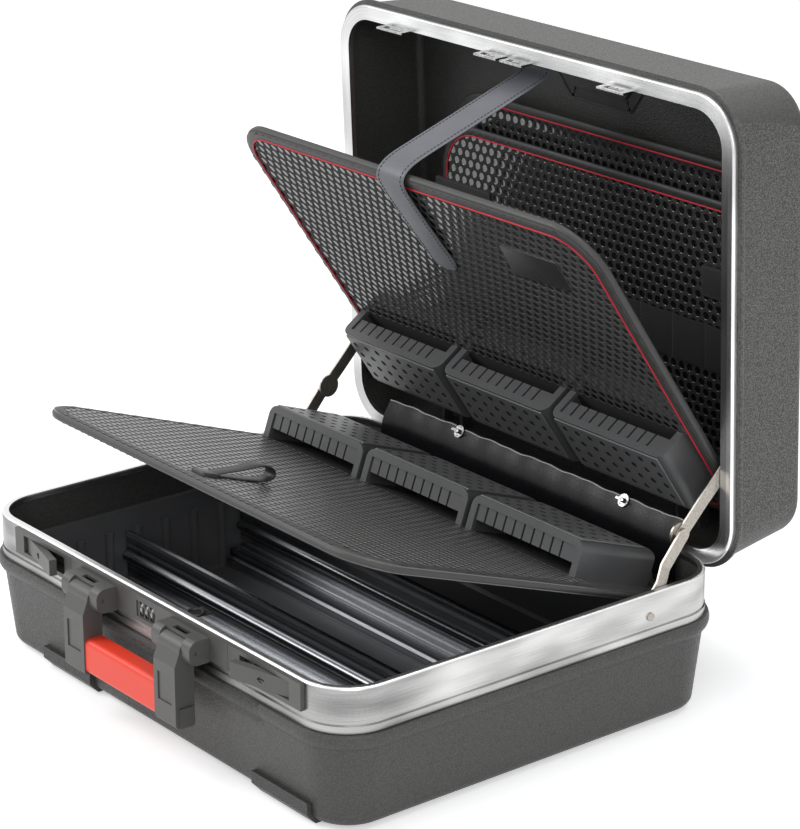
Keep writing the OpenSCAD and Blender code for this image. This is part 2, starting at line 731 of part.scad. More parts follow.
module grip() color(red) in_frame() {
    x1 = arm_half - arm_w / 2;
    z0 = pivot_z - arm_len + 1;
    translate([handle_x, 0, 0]) along_x(-x1, x1) {
        translate([arm_front + 6, z0]) square([10.5, grip_h]);
        translate([arm_front + 1, z0 + 5]) square([15.5, grip_h - 10]);
        translate([arm_front + 6, z0 + 5]) circle(r = 5, $fn = 48);
        translate([arm_front + 6, z0 + grip_h - 5]) circle(r = 5, $fn = 48);
    }
}

// ---- latches ----

// lever closed in its opening, pivot at the origin, free end towards +x
module lever() difference() {
    union() {
        intersection() {
            span([-lever_pivot_in, panel_y, -lever_h / 2], [2, lever_back, lever_h / 2]);
            cylinder(r = 11, h = lever_h + 2, center = true, $fn = 64);
        }
        span([0, panel_y, -lever_h / 2], [lever_w - lever_pivot_in, lever_back + 0.8, lever_h / 2]);
    }
    translate([key_in, panel_y - 1, 0]) rotate([-90, 0, 0]) cylinder(r = key_r + gap_turn, h = 4.2, $fn = 48);
    cylinder(r = 1.2 + gap_turn, h = lever_h + 2, center = true, $fn = 32);
}

module key_barrel() translate([key_in, panel_y, 0]) rotate([-90, 0, 0]) difference() {
    cylinder(r = key_r, h = 3.2, $fn = 48);
    translate([0, 0, -1]) cylinder(r = 2.6, h = 1.8, $fn = 32);
    translate([-3.4, -0.7, -1]) cube([6.8, 1.4, 3]);
}

module at_lever_left() translate([open_left + lever_pivot_in, 0, open_z])
    rotate([0, 0, -lever_open]) children();
module at_lever_right() translate([open_right + open_w - lever_pivot_in, 0, open_z])
    rotate([0, 0, lever_open]) mirror([1, 0, 0]) children();

module latch_lever_left() color(plastic) in_frame() at_lever_left() lever();
module latch_lever_right() color(plastic) in_frame() at_lever_right() lever();
module key_left() color(metal) in_frame() at_lever_left() key_barrel();
module key_right() color(metal) in_frame() at_lever_right() key_barrel();

// number wheel with ten flats
module dial(i) translate([dial_x[i], dial_y, dial_z]) rotate([0, 90, 0]) difference() {
    cylinder(r = dial_r, h = dial_w, center = true, $fn = 10);
    cylinder(r = 1 + gap_turn, h = dial_w + 2, center = true, $fn = 32);
}

module dial_1() color(dark) in_frame() dial(0);
module dial_2() color(dark) in_frame() dial(1);
module dial_3() color(dark) in_frame() dial(2);

// ---- stays ----

// flat link in (along, across), from the origin to length l
module link_shape(l, w) {
    circle(r = w / 2, $fn = 48);
    translate([l, 0]) circle(r = w / 2, $fn = 48);
    translate([0, -w / 2]) square([l, w]);
}

// places a link lying in the plane x, start at (y, z), at angle a from +y
module link_at(y, z, a) translate([0, y, z]) rotate([a, 0, 0]) children();

// cuts a slab of the link between two stations along it, at x0 of thickness t
module slab(x0, t, s0, s1, w) intersection() {
    along_x(x0, x0 + t) children();
    span([x0 - 1, s0, -w], [x0 + t + 1, s1, w]);
}

// slanted part between two planes
module slant(x0, x1, t, s0, s1, w) translate([0, 0, -w / 2]) linear_extrude(height = w)
    polygon([[x0, s0], [x0 + t, s0], [x1 + t, s1], [x1, s1]]);

module stay_lower() link_at(stay_ay, stay_az, knee_a) difference() {
    union() {
        slab(stay_outer, stay_t, -20, 26, 20) link_shape(stay_l1, stay_w);
        slant(stay_outer, stay_mid, stay_t, 26, 40, stay_w);
        slab(stay_mid, stay_t, 40, 90, 20) link_shape(stay_l1, stay_w);
        rod_x(3, stay_inner - 1.8, stay_mid + stay_t, stay_l1, 0, 48);
        rod_x(disc_r, stay_inner - 1.8, stay_inner - 0.25, stay_l1, 0, 96);
    }
    rod_x(2.4 + gap_turn, stay_outer - 2, stay_outer + 4, 0, 0);
}

module stay_upper() link_at(stay_ky, stay_kz, link_a) difference() {
    union() {
        slab(stay_inner, stay_t - 0.2, -20, 31, 20) link_shape(stay_l2, stay_w);
        slant(stay_inner, stay_inner + 0.6, stay_t - 0.2, 31, 45, stay_w);
        slab(stay_inner + 0.6, stay_t - 0.2, 45, 90, 20) link_shape(stay_l2, stay_w);
    }
    rod_x(3 + gap_turn, stay_inner - 2, stay_inner + 4, 0, 0);
}

module stay_lower_right() color(nickel) in_frame() stay_lower();
module stay_lower_left() color(nickel) in_frame() mirror([1, 0, 0]) stay_lower();
module stay_upper_right() color(nickel) in_frame() stay_upper();
module stay_upper_left() color(nickel) in_frame() mirror([1, 0, 0]) stay_upper();

// ---- boards, in board coordinates ----

module board_outline(len, inset) translate([0, -(len + board_back) / 2])
    round_rect(board_w - 2 * inset, len - board_back - 2 * inset, board_r - inset);

module board(len) {
    translate([0, 0, -board_t / 2]) linear_extrude(height = board_t) board_outline(len, 1);
    for (s = [-1, 1]) difference() {
        along_x(s * lug_x - lug_w / 2, s * lug_x + lug_w / 2) {
            circle(r = lug_r, $fn = 48);
            translate([-board_back - 8, -board_t / 2]) square([board_back + 8, board_t]);
        }
        rod_x(2 + gap_turn, s * lug_x - lug_w, s * lug_x + lug_w, 0, 0);
    }
}

// soft edge band that wraps the rim of a board
module binding(len) difference() {
    translate([0, 0, -board_t / 2 - bind_t]) linear_extrude(height = board_t + 2 * bind_t)
        board_outline(len, 0);
    translate([0, 0, -board_t / 2 - 2 * bind_t]) linear_extrude(height = board_t + 4 * bind_t)
        board_outline(len, bind_w);
    translate([0, 0, -board_t / 2]) linear_extrude(height = board_t) board_outline(len, 1);
    for (s = [-1, 1])
        span([s * lug_x - lug_w / 2 - 6, -board_back - bind_w - 3, -20], [s * lug_x + lug_w / 2 + 6, 10, 20]);
}

// upright with rounded upper corners, w to each side of the middle
module arch(w, h, r) {
    translate([-w, 0]) square([2 * w, h - r]);
    translate([r - w, 0]) square([2 * (w - r), h]);
    for (x = [r - w, w - r])
        translate([x, h - r]) circle(r = r, $fn = 48);
}

// side view of the pocket, rounded over at its closed end
module pocket_side(d, h, r) {
    square([d - r, h]);
    square([d, h - r]);
    translate([d - r, h - r]) circle(r = r, $fn = 48);
}

// moulded pocket, mouth towards -y, a frame with hanging fingers in the mouth
module pocket(h, d) {
    w = pocket_w / 2;
    difference() {
        intersection() {
            along_y(0, d) arch(w, h, pocket_r);
            along_x(-w, w) pocket_side(d, h, 6);
        }
        intersection() {
            along_y(-1, d) arch(w - pocket_t, h - pocket_t, pocket_r - pocket_t);
            translate([0, -1, -1]) along_x(-w, w) pocket_side(d - pocket_t + 1, h - pocket_t + 1, 4);
        }
    }
    along_y(-1.5, 2.5) difference() {
        arch(w, h, pocket_r);
        translate([mouth_leg - w, -1]) square([2 * (w - mouth_leg), h - mouth_top + 1]);
    }
    along_y(0, 1.5) difference() {
        translate([mouth_leg - w - 1, h - mouth_top - finger_len])
            square([2 * (w - mouth_leg + 1), finger_len + 1]);
        for (i = [0:finger_n - 1])
            translate([mouth_leg - w + i * finger_pitch - 1, 0]) square([finger_gap, h - mouth_top]);
    }
    span([-w, d - 8, 0], [w, d, 1.6]);
}

module in_row(i, shift) translate([(i - 1) * pocket_pitch + shift, -mouth_y, board_t / 2]) children();

// clears the edge band under one pocket
module pocket_seat(d) span([-pocket_w / 2 - seat_gap, -seat_gap, 0],
    [pocket_w / 2 + seat_gap, d + seat_gap, bind_t + 1]);

module lower_board() color(dark) in_frame() on_lower() board(lower_len);
module lower_binding() color(cloth) in_frame() on_lower() difference() {
    binding(lower_len);
    for (i = [0:2]) in_row(i, row_shift_low) pocket_seat(lower_pocket_d);
}
module lower_pocket(i) color(dark) in_frame() on_lower()
    in_row(i, row_shift_low) pocket(lower_pocket_h, lower_pocket_d);
module lower_pocket_1() lower_pocket(0);
module lower_pocket_2() lower_pocket(1);
module lower_pocket_3() lower_pocket(2);

// leather loop that the lower board is lifted by, held in a small clip
module pull_loop() color(dark) in_frame() on_lower() translate([-11, -lower_len, board_t / 2]) {
    span([-8, 17, 0], [8, 33, 3.2]);
    along_x(-7, 7) bent([[28, 2.3], [55, 9], [74, 14.9], [82, 14.8], [87, 11], [86.6, 6.4], [82, 3.6],
        [66, 1.6], [28, 0.9]], 1.2);
}

module upper_board() color(dark) in_frame() on_upper() board(upper_len);
module upper_binding() color(cloth) in_frame() on_upper() binding(upper_len);
module upper_pocket(i) color(dark) in_frame() on_upper()
    in_row(i, row_shift_up) pocket(upper_pocket_h, upper_pocket_d);
module upper_pocket_1() upper_pocket(0);
module upper_pocket_2() upper_pocket(1);
module upper_pocket_3() upper_pocket(2);

// ---- output ----

base_shell();
base_frame();
base_liner();
divider_front();
divider_rear();
lock_panel();
bracket_left();
bracket_right();
foot_front_left();
foot_front_right();
foot_rear_left();
foot_rear_right();
hinge_base_left();
hinge_base_right();
snap_tab();
stay_rivet_left();
stay_rivet_right();
hinge_cover();
stud_left();
stud_right();
lid_shell();
lid_frame();
catch_left();
catch_mid();
catch_right();
hinge_lid_left();
hinge_lid_right();
rear_pocket();
front_pocket();
webbing();
stay_post_left();
stay_post_right();
strap();
handle_arm_left();
handle_arm_right();
grip();
latch_lever_left();
latch_lever_right();
key_left();
key_right();
dial_1();
dial_2();
dial_3();
stay_lower_left();
stay_lower_right();
stay_upper_left();
stay_upper_right();
lower_board();
lower_binding();
lower_pocket_1();
lower_pocket_2();
lower_pocket_3();
pull_loop();
upper_board();
upper_binding();
upper_pocket_1();
upper_pocket_2();
upper_pocket_3();
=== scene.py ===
import math
import bpy
import bmesh
from mathutils import Vector, Matrix


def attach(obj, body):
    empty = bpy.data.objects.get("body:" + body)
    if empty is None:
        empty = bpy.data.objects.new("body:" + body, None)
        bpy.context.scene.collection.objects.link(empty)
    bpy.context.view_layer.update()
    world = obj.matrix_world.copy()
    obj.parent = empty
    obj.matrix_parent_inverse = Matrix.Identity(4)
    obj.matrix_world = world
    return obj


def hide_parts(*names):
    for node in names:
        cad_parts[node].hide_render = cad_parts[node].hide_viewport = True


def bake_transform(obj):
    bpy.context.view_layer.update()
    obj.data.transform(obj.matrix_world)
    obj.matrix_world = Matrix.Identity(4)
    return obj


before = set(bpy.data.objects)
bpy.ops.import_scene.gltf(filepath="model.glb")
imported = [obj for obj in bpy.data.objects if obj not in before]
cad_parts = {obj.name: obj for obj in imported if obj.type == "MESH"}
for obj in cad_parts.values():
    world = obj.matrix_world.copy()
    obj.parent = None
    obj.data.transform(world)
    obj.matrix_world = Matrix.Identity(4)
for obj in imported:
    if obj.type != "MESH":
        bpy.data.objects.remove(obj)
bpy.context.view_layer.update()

# ---- measures, in millimetres, in the case's own frame: x across, y back from the front
# face of the base frame, z up from the rim of the base ----
CASE_W, CASE_D, CORNER_R = 480.0, 383.4, 41.5
LID_OPEN, HINGE_Y, HINGE_Z = 87.56, 380.4, -6.27
LOW_RISE, LOW_Y, LOW_Z, LOW_LEN = 19.54, 364.0, -31.0, 344.0
UP_SWING, UP_Y, UP_Z, UP_LEN = 31.79, 358.1, 45.2, 330.0
BOARD_W, BOARD_T, BOARD_R, BOARD_BACK = 441.0, 6.0, 42.0, 6.0
BASE_H, FOOT_T, LID_H = 115.0, 2.5, 85.0
LID_EDGE_R, RIM_OUT = 9.0, 5.5    # rounding of the lid's top edge, and its rim past the frame
HANDLE_OUT = 28.0                 # the handle's reach in front of the frame

lid_turn = math.radians(LID_OPEN)
edge_y, edge_z = CASE_D - RIM_OUT - LID_EDGE_R - HINGE_Y, LID_H - LID_EDGE_R - HINGE_Z
BACK_Y = HINGE_Y + edge_y * math.cos(lid_turn) + edge_z * math.sin(lid_turn) + LID_EDGE_R
MID_Y = (BACK_Y - HANDLE_OUT) / 2
LIFT = BASE_H + FOOT_T


def T(x, y, z):
    """A point of the case's own frame, in the scene's metres."""
    return Vector((x / 1000, (y - MID_Y) / 1000, (z + LIFT) / 1000))


def turn_x(p, deg, y0, z0):
    """Turn a point about an axis along x."""
    a = math.radians(deg)
    dy, dz = p[1] - y0, p[2] - z0
    return (p[0], y0 + dy * math.cos(a) - dz * math.sin(a), z0 + dy * math.sin(a) + dz * math.cos(a))


def on_lid(x, y, z):
    """Closed lid coordinates to the open pose."""
    return turn_x((x, y, z), -LID_OPEN, HINGE_Y, HINGE_Z)


def on_lower(x, y, z):
    """Lower board coordinates: pivot at the origin, tool side up."""
    return turn_x((x, LOW_Y + y, LOW_Z + z), -LOW_RISE, LOW_Y, LOW_Z)


def on_upper(x, y, z):
    """Upper board coordinates: pivot at the origin, tool side up when laid flat."""
    return on_lid(*turn_x((x, UP_Y + y, UP_Z - z), UP_SWING, UP_Y, UP_Z))


# ---- camera ----
CAM = (1759.34, -1153.54, 894.59)
YAW, TILT = math.radians(51.46), math.radians(19.67)
FOCAL_PX, PICTURE_PX = 2975.99, 800
SENSOR_MM = 36
cam_data = bpy.data.cameras.new("camera")
cam = bpy.data.objects.new("camera", cam_data)
bpy.context.scene.collection.objects.link(cam)
cam.location = T(*CAM)
ahead = Vector((-math.sin(YAW) * math.cos(TILT), math.cos(YAW) * math.cos(TILT), -math.sin(TILT)))
side = Vector((math.cos(YAW), math.sin(YAW), 0))
above = side.cross(ahead)
cam.rotation_euler = Matrix((side, above, -ahead)).transposed().to_euler()
cam_data.sensor_fit = "HORIZONTAL"
cam_data.sensor_width = SENSOR_MM
cam_data.lens = SENSOR_MM * FOCAL_PX / PICTURE_PX
cam_data.clip_end = 50
bpy.context.scene.camera = cam


def affine(spot):
    """Matrix from a part's own millimetres to the scene, for a placing function."""
    zero = T(*spot(0, 0, 0))
    m = Matrix.Identity(4)
    for i, unit in enumerate(((1, 0, 0), (0, 1, 0), (0, 0, 1))):
        m.col[i].xyz = T(*spot(*unit)) - zero
    m.translation = zero
    return m


AT_BASE = affine(lambda x, y, z: (x, y, z))
AT_LID = affine(on_lid)
AT_LOWER = affine(on_lower)
AT_UPPER = affine(on_upper)


# ---- nodes, for shaders and for geometry ----
class Val:
    """A socket that takes ordinary arithmetic."""

    def __init__(self, tree, sock):
        self.tree, self.sock = tree, sock

    def math(self, op, *others):
        return add_node(self.tree, "ShaderNodeMath", {"operation": op},
                        dict(enumerate((self,) + others)))

    def __add__(self, o): return self.math("ADD", o)
    def __radd__(self, o): return self.math("ADD", o)
    def __sub__(self, o): return self.math("SUBTRACT", o)
    def __rsub__(self, o): return self * -1 + o
    def __mul__(self, o): return self.math("MULTIPLY", o)
    def __rmul__(self, o): return self.math("MULTIPLY", o)
    def __truediv__(self, o): return self.math("DIVIDE", o)
    def __mod__(self, o): return self.math("FLOORED_MODULO", o)
    def __lt__(self, o): return self.math("LESS_THAN", o)
    def __gt__(self, o): return self.math("GREATER_THAN", o)
    def __abs__(self): return self.math("ABSOLUTE")
    def sin(self): return self.math("SINE")
    def max(self, o): return self.math("MAXIMUM", o)

    def ramp(self, low, high):
        """0 at low, 1 at high, smooth between."""
        return add_node(self.tree, "ShaderNodeMapRange", {"interpolation_type": "SMOOTHSTEP"},
                        {"Value": self, "From Min": low, "From Max": high})

    def parts(self):
        node = self.tree.nodes.new("ShaderNodeSeparateXYZ")
        self.tree.links.new(self.sock, node.inputs[0])
        return [Val(self.tree, s) for s in node.outputs]


def add_node(tree, kind, settings=None, values=None, out=0):
    """Any node: its settings first, then the values or links of its sockets."""
    node = tree.nodes.new(kind)
    for key, value in (settings or {}).items():
        setattr(node, key, value)
    for key, value in (values or {}).items():
        if isinstance(value, Val):
            tree.links.new(value.sock, node.inputs[key])
        else:
            node.inputs[key].default_value = value
    return Val(tree, node.outputs[out])


class Finish:
    """A material. Its patterns are laid in millimetres, turned with the part they are on."""

    def __init__(self, name, tone, rough, metal=0.0, place=AT_BASE):
        self.mat = bpy.data.materials.new(name)
        self.mat.use_nodes = True
        self.tree = self.mat.node_tree
        self.bsdf = self.tree.nodes["Principled BSDF"]
        self.set("Base Color", (*tone, 1))
        self.set("Roughness", rough)
        self.set("Metallic", metal)
        self.bumped = None
        coord = self.node("ShaderNodeTexCoord", out=3)
        back = place.inverted()
        turn = back.to_3x3()
        turn.normalize()
        if turn.determinant() < 0:
            turn = turn * -1
        moved = self.node("ShaderNodeVectorMath", {"operation": "SUBTRACT"},
                          {0: coord, 1: place.translation})
        turned = self.node("ShaderNodeVectorRotate", {"rotation_type": "EULER_XYZ"},
                           {"Vector": moved, "Rotation": turn.to_euler()})
        self.mm = self.node("ShaderNodeVectorMath", {"operation": "SCALE"}, {0: turned, "Scale": 1000.0})

    def node(self, kind, settings=None, values=None, out=0):
        return add_node(self.tree, kind, settings, values, out)

    def set(self, name, value):
        if isinstance(value, Val):
            self.tree.links.new(value.sock, self.bsdf.inputs[name])
        else:
            self.bsdf.inputs[name].default_value = value
        return self

    def stretched(self, by):
        return self.node("ShaderNodeVectorMath", {"operation": "MULTIPLY"}, {0: self.mm, 1: by})

    def noise(self, scale, detail=2.0, rough=0.5, by=(1, 1, 1)):
        """Scale is in cells per millimetre."""
        return self.node("ShaderNodeTexNoise", {},
                         {"Vector": self.stretched(by), "Scale": scale, "Detail": detail, "Roughness": rough})

    def pebbles(self, scale):
        return self.node("ShaderNodeTexVoronoi", {"feature": "SMOOTH_F1"},
                         {"Vector": self.mm, "Scale": scale, "Smoothness": 0.4})

    def attribute(self, name):
        return self.node("ShaderNodeAttribute", {"attribute_name": name}, out=2)

    def mix(self, how_much, a, b):
        sides = {6: a if isinstance(a, Val) else (*a, 1), 7: b if isinstance(b, Val) else (*b, 1)}
        return self.node("ShaderNodeMix", {"data_type": "RGBA"}, {0: how_much, **sides}, out=2)

    def bump(self, height, mm, strength=1.0):
        """Height 1 stands mm proud of height 0."""
        values = {"Strength": strength, "Distance": mm / 1000, "Height": height}
        if self.bumped:
            values["Normal"] = self.bumped
        self.bumped = self.node("ShaderNodeBump", {}, values)
        return self.set("Normal", self.bumped)


# ---- light and floor ----
scene = bpy.context.scene
scene.view_settings.view_transform = "Standard"
FILL_TONE, FILL = (0.95, 0.97, 1.0, 1), 0.42
FLOOR_HALF, FLOOR_TONE, FLOOR_LIFT = 6, 0.88, 0.46


def looked_at(tree):
    """1 for rays that reach the eye straight, or by way of metal or glass."""
    path = tree.nodes.new("ShaderNodeLightPath")
    straight, glossy, through = [Val(tree, path.outputs["Is %s Ray" % kind])
                                 for kind in ("Camera", "Glossy", "Transmission")]
    return straight.max(glossy).max(through)


def studio():
    world = bpy.data.worlds.new("studio")
    scene.world = world
    world.use_nodes = True
    tree = world.node_tree
    tree.nodes.clear()
    white = add_node(tree, "ShaderNodeBackground", {}, {0: (1, 1, 1, 1), 1: 1.0})
    fill = add_node(tree, "ShaderNodeBackground", {}, {0: FILL_TONE, 1: FILL})
    both = add_node(tree, "ShaderNodeMixShader", {}, {0: looked_at(tree), 1: fill, 2: white})
    out = tree.nodes.new("ShaderNodeOutputWorld")
    tree.links.new(both.sock, out.inputs[0])


def lamp(name, at, to, size, power):
    light = bpy.data.lights.new(name, "AREA")
    light.shape = "RECTANGLE"
    light.size, light.size_y = size
    light.energy = power
    o = bpy.data.objects.new(name, light)
    scene.collection.objects.link(o)
    o.location = at
    o.rotation_euler = (Vector(to) - Vector(at)).to_track_quat("-Z", "Y").to_euler()


def floor():
    corners = [(x * FLOOR_HALF, y * FLOOR_HALF, 0) for x, y in ((-1, -1), (1, -1), (1, 1), (-1, 1))]
    me = bpy.data.meshes.new("floor")
    me.from_pydata(corners, [], [(0, 1, 2, 3)])
    o = bpy.data.objects.new("floor", me)
    scene.collection.objects.link(o)
    m = Finish("floor_white", (FLOOR_TONE,) * 3, 0.8)
    m.set("Emission Strength", 1.0)
    m.set("Emission Color", m.mix(looked_at(m.tree), (0, 0, 0), (FLOOR_LIFT,) * 3))
    me.materials.append(m.mat)


studio()
lamp("key", (-1.5, -1.7, 2.0), (0, 0, 0.15), (1.5, 1.5), 42)
lamp("side", (2.4, -1.2, 1.3), (0, 0, 0.2), (1.6, 1.6), 20)
lamp("top", (0.4, 0.6, 2.4), (0, 0, 0.1), (1.6, 1.6), 22)
floor()


# ---- finishes ----
def darker(tone, by):
    return tuple(c * by for c in tone)


FLANK = 6.0    # how far in from the frame's sides the flanks begin


def shell_plastic(name, place, tone=(0.08, 0.08, 0.075), painted_flank_light=1.0):
    """Fine pebbled plastic. The last argument lightens the right flank: painted light where the light falls on
    that side. The pebbles' valleys are painted darker: painted shade in the grain.
    """
    m = Finish(name, tone, 0.45, place=place)
    grain = m.pebbles(0.8)
    fine = m.noise(1.9, 2)
    flank = m.mm.parts()[0] > CASE_W / 2 - FLANK
    tone_here = m.mix(m.noise(0.01, 3), darker(tone, 0.84), darker(tone, 1.06))
    # painted light: the right flank is made lighter where the light falls on it
    tone_here = m.mix(flank, tone_here, darker(tone, painted_flank_light))
    # painted shade: the pebbles' valleys are painted darker, down to half the tone
    m.set("Base Color", m.mix(grain.ramp(0.1, 0.62), tone_here, darker(tone, 0.5)))
    m.set("Roughness", grain * 0.24 + 0.32)
    return m.bump(grain * -0.7 + fine * 0.3, 0.5, 1.0)


WAFFLE_MM = 1.25
WAFFLE_FIELDS = ((-46, 48, -97, -40), (82, 150, -55, -36))    # x and z from, to
FRONT_DEPTH = 25


def field(m, x0, x1, z0, z1):
    """1 inside a field on the front of the case, 0 outside."""
    x, y, z = m.mm.parts()
    return (x > x0) * (x < x1) * (z > z0) * (z < z1) * (y < FRONT_DEPTH)


def base_plastic():
    """Pebbled plastic with the fine square grid behind the handle and beside it."""
    m = shell_plastic("base_shell_plastic", AT_BASE)
    x, y, z = m.mm.parts()
    behind_handle, beside_handle = [field(m, *limits) for limits in WAFFLE_FIELDS]
    wave_number = math.pi / WAFFLE_MM
    waffle = (x * wave_number).sin() * ((z + y) * wave_number).sin()
    return m.bump(waffle * behind_handle.max(beside_handle), 0.5, 1.0)


def smooth_plastic(name, tone, rough=0.42):
    m = Finish(name, tone, rough)
    m.set("Base Color", m.mix(m.noise(0.03, 3), darker(tone, 0.88), darker(tone, 1.1)))
    m.set("Roughness", m.noise(1.2, 2) * 0.14 + (rough - 0.07))
    return m.bump(m.noise(2.4, 2), 0.04, 0.7)


def brushed(name, low, high, rough, across, detail=5):
    m = Finish(name, high, rough, 1.0)
    lines = m.noise(0.5, detail, 0.65, across)
    m.set("Base Color", m.mix(lines.ramp(0.3, 0.7), low, high))
    m.set("Roughness", lines * 0.22 + (rough - 0.11))
    return m.bump(lines, 0.06, 0.6)


SIDE_LIT = (50, 110)    # where the right flank's shine begins and is full, from the front


def frame_metal(name, place, low, high, highlight_from, highlight_full):
    """Aluminium brushed along the frame: streaks follow its outline. Its edges are painted bright, a painted
    highlight, and its right flank is painted lighter, painted light.
    """
    m = Finish(name, (0.6, 0.6, 0.6), 0.3, 1.0, place=place)
    x, y, z = m.mm.parts()
    qx = (abs(x) - (CASE_W / 2 - CORNER_R)).max(0)
    qy = (abs(y - CASE_D / 2) - (CASE_D / 2 - CORNER_R)).max(0)
    out = (qx * qx + qy * qy).math("SQRT") - CORNER_R
    spot = m.node("ShaderNodeCombineXYZ", {}, {0: out * 6, 1: z * 6, 2: (x + y) * 0.02})
    lines = m.node("ShaderNodeTexNoise", {}, {"Vector": spot, "Scale": 0.9, "Detail": 3, "Roughness": 0.6})
    patch = m.node("ShaderNodeCombineXYZ", {}, {0: x * 0.016, 1: y * 0.016, 2: z * 0.05})
    broad = m.node("ShaderNodeTexNoise", {}, {"Vector": patch, "Scale": 1.0, "Detail": 1, "Roughness": 0.4})
    tone = (lines * 0.45 + broad * 0.55).ramp(0.3, 0.7)
    # painted light: the right flank is made lighter from the front backwards, where the light falls on it
    side = (x > CASE_W / 2 - FLANK) * y.ramp(*SIDE_LIT)
    low, high = m.mix(side, low, darker(low, 2.2)), m.mix(side, high, darker(high, 1.55))
    # painted highlight: towards the rim the metal is painted pale grey
    painted_edge_highlight = z.ramp(highlight_from, highlight_full)
    m.set("Base Color", m.mix(painted_edge_highlight, m.mix(tone, low, high), (0.86, 0.86, 0.86)))
    m.set("Roughness", lines * 0.2 + 0.2)
    return m.bump(lines, 0.07, 0.7)


def embossed_film(name, place, web_tone, web_coat=0.0, bowl_coat=1.0, coat_rough=0.1):
    """Web round bowls; seen along its surface the web shines, seen from above the bowls do."""
    m = Finish(name, web_tone, 0.4, place=place)
    pit = m.attribute("pit")
    bowl = pit.ramp(0.3, 0.85)
    m.set("Specular IOR Level", 0.12)
    m.set("Coat IOR", 1.8)
    m.set("Coat Roughness", coat_rough)
    m.set("Coat Weight", bowl * (bowl_coat - web_coat) + web_coat)
    # painted shade: the bowls are painted near black
    m.set("Base Color", m.mix(bowl, web_tone, (0.005, 0.005, 0.005)))
    m.set("Roughness", m.noise(0.4, 3) * 0.1 + 0.75 - bowl * 0.4)
    return m.bump(m.noise(1.6, 2), 0.03, 0.5)


def leather(name, tone, place=AT_BASE, rough=0.5):
    """Fine grained skin, for leather, leathercloth, thread and piping."""
    m = Finish(name, tone, rough, place=place)
    grain = m.pebbles(1.1)
    m.set("Base Color", m.mix(m.noise(0.05, 3), darker(tone, 0.8), darker(tone, 1.15)))
    m.set("Roughness", grain * 0.2 + (rough - 0.08))
    return m.bump(grain, 0.1, 0.6)


def woven(name, tone, place=AT_BASE, thread=0.8):
    m = Finish(name, tone, 0.8, place=place)
    x, y, z = m.mm.parts()
    wave_number = math.pi / thread
    knit = (x * wave_number).sin() * ((y + z) * wave_number).sin() * 0.5 + 0.5
    m.set("Base Color", m.mix(knit, darker(tone, 0.7), darker(tone, 1.2)))
    m.set("Roughness", knit * 0.15 + 0.7)
    return m.bump(knit, 0.12, 0.7)


def red_plastic():
    m = Finish("red_grip", (0.86, 0.06, 0.024), 0.42)
    m.set("Base Color", m.mix(m.noise(0.02, 2), (0.8, 0.045, 0.018), (0.88, 0.062, 0.03)))
    m.set("Roughness", m.noise(0.9, 3) * 0.12 + 0.34)
    return m.bump(m.noise(2.2, 2), 0.05, 0.6)


BASE_SHELL = base_plastic()
LID_SHELL = shell_plastic("lid_shell_plastic", AT_LID, painted_flank_light=2.1)
FOOT = shell_plastic("foot_plastic", AT_BASE, (0.05, 0.05, 0.048))
TRIM = smooth_plastic("handle_plastic", (0.078, 0.077, 0.073))
LINER = smooth_plastic("liner_plastic", (0.095, 0.096, 0.1), 0.4)
POCKET_TONE = (0.082, 0.083, 0.085)
POCKET_PLASTIC = smooth_plastic("pocket_plastic", POCKET_TONE, 0.38)
BLACK_STEEL = smooth_plastic("black_steel", (0.02, 0.02, 0.02), 0.35)
# one aluminium in two copies: darker on the base's frame, painted shade, and lighter on the lid's frame,
# painted light
BASE_RIM = frame_metal("base_frame_aluminium", AT_BASE, (0.14, 0.14, 0.138), (0.46, 0.455, 0.45), -2.2, -0.6)
LID_RIM = frame_metal("lid_frame_aluminium", AT_LID, (0.4, 0.4, 0.4), (0.8, 0.8, 0.8), 5.2, 7.0)
DIVIDER = brushed("divider_aluminium", (0.1, 0.104, 0.112), (0.6, 0.61, 0.63), 0.26, (0.0004, 0.5, 0.5), 1)
NICKEL = brushed("nickel_plate", (0.34, 0.315, 0.28), (0.48, 0.45, 0.405), 0.36, (1, 1, 1))
CHROME = brushed("chrome_plate", (0.16, 0.16, 0.165), (0.5, 0.5, 0.5), 0.16, (1, 1, 1))
FILM_LOWER = embossed_film("embossed_film_lower", AT_LOWER, (0.062, 0.062, 0.061), 1.0, 0.0, 0.34)
FILM_UPPER = embossed_film("embossed_film_upper", AT_UPPER, (0.055, 0.055, 0.054))
FILM_LID = embossed_film("embossed_film_lid", AT_LID, (0.04, 0.04, 0.039))
TAPE_LOWER = leather("edge_tape_lower", (0.042, 0.042, 0.04), AT_LOWER)
TAPE_UPPER = leather("edge_tape_upper", (0.042, 0.042, 0.04), AT_UPPER)
TAPE_LID = leather("edge_tape_lid", (0.014, 0.014, 0.014), AT_LID)
RED_CORD = leather("red_piping", (0.55, 0.01, 0.03), rough=0.55)
STRAP = leather("strap_leather", (0.125, 0.129, 0.145), rough=0.44)
THREAD = leather("dark_thread", (0.012, 0.012, 0.014), rough=0.7)
COVER = leather("cover_sheet", (0.006, 0.006, 0.007), rough=0.28)
COVER.set("Specular IOR Level", 0.2)
WEB = woven("black_webbing", (0.02, 0.02, 0.021), AT_LID)
GRIP = red_plastic()
DIGIT = smooth_plastic("digit_paint", (0.75, 0.75, 0.72), 0.5)
LINING = leather("pocket_lining", (0.012, 0.012, 0.013), AT_LID)
# pale finish for the tube along the hinge cover's top edge: a painted highlight
PAINTED_HIGHLIGHT_EDGE = leather("painted_highlight_edge", (0.42, 0.42, 0.41), rough=0.4)
GREY_THREAD = leather("grey_thread", (0.07, 0.07, 0.072), rough=0.7)
LOOP_LEATHER = leather("loop_leather", (0.02, 0.02, 0.021), AT_LOWER, 0.42)
PATCH = leather("patch_sheet", (0.02, 0.02, 0.021), AT_UPPER, 0.4)


def dress(names, finish):
    for name in names:
        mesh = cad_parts[name].data
        mesh.materials.clear()
        mesh.materials.append(finish.mat)


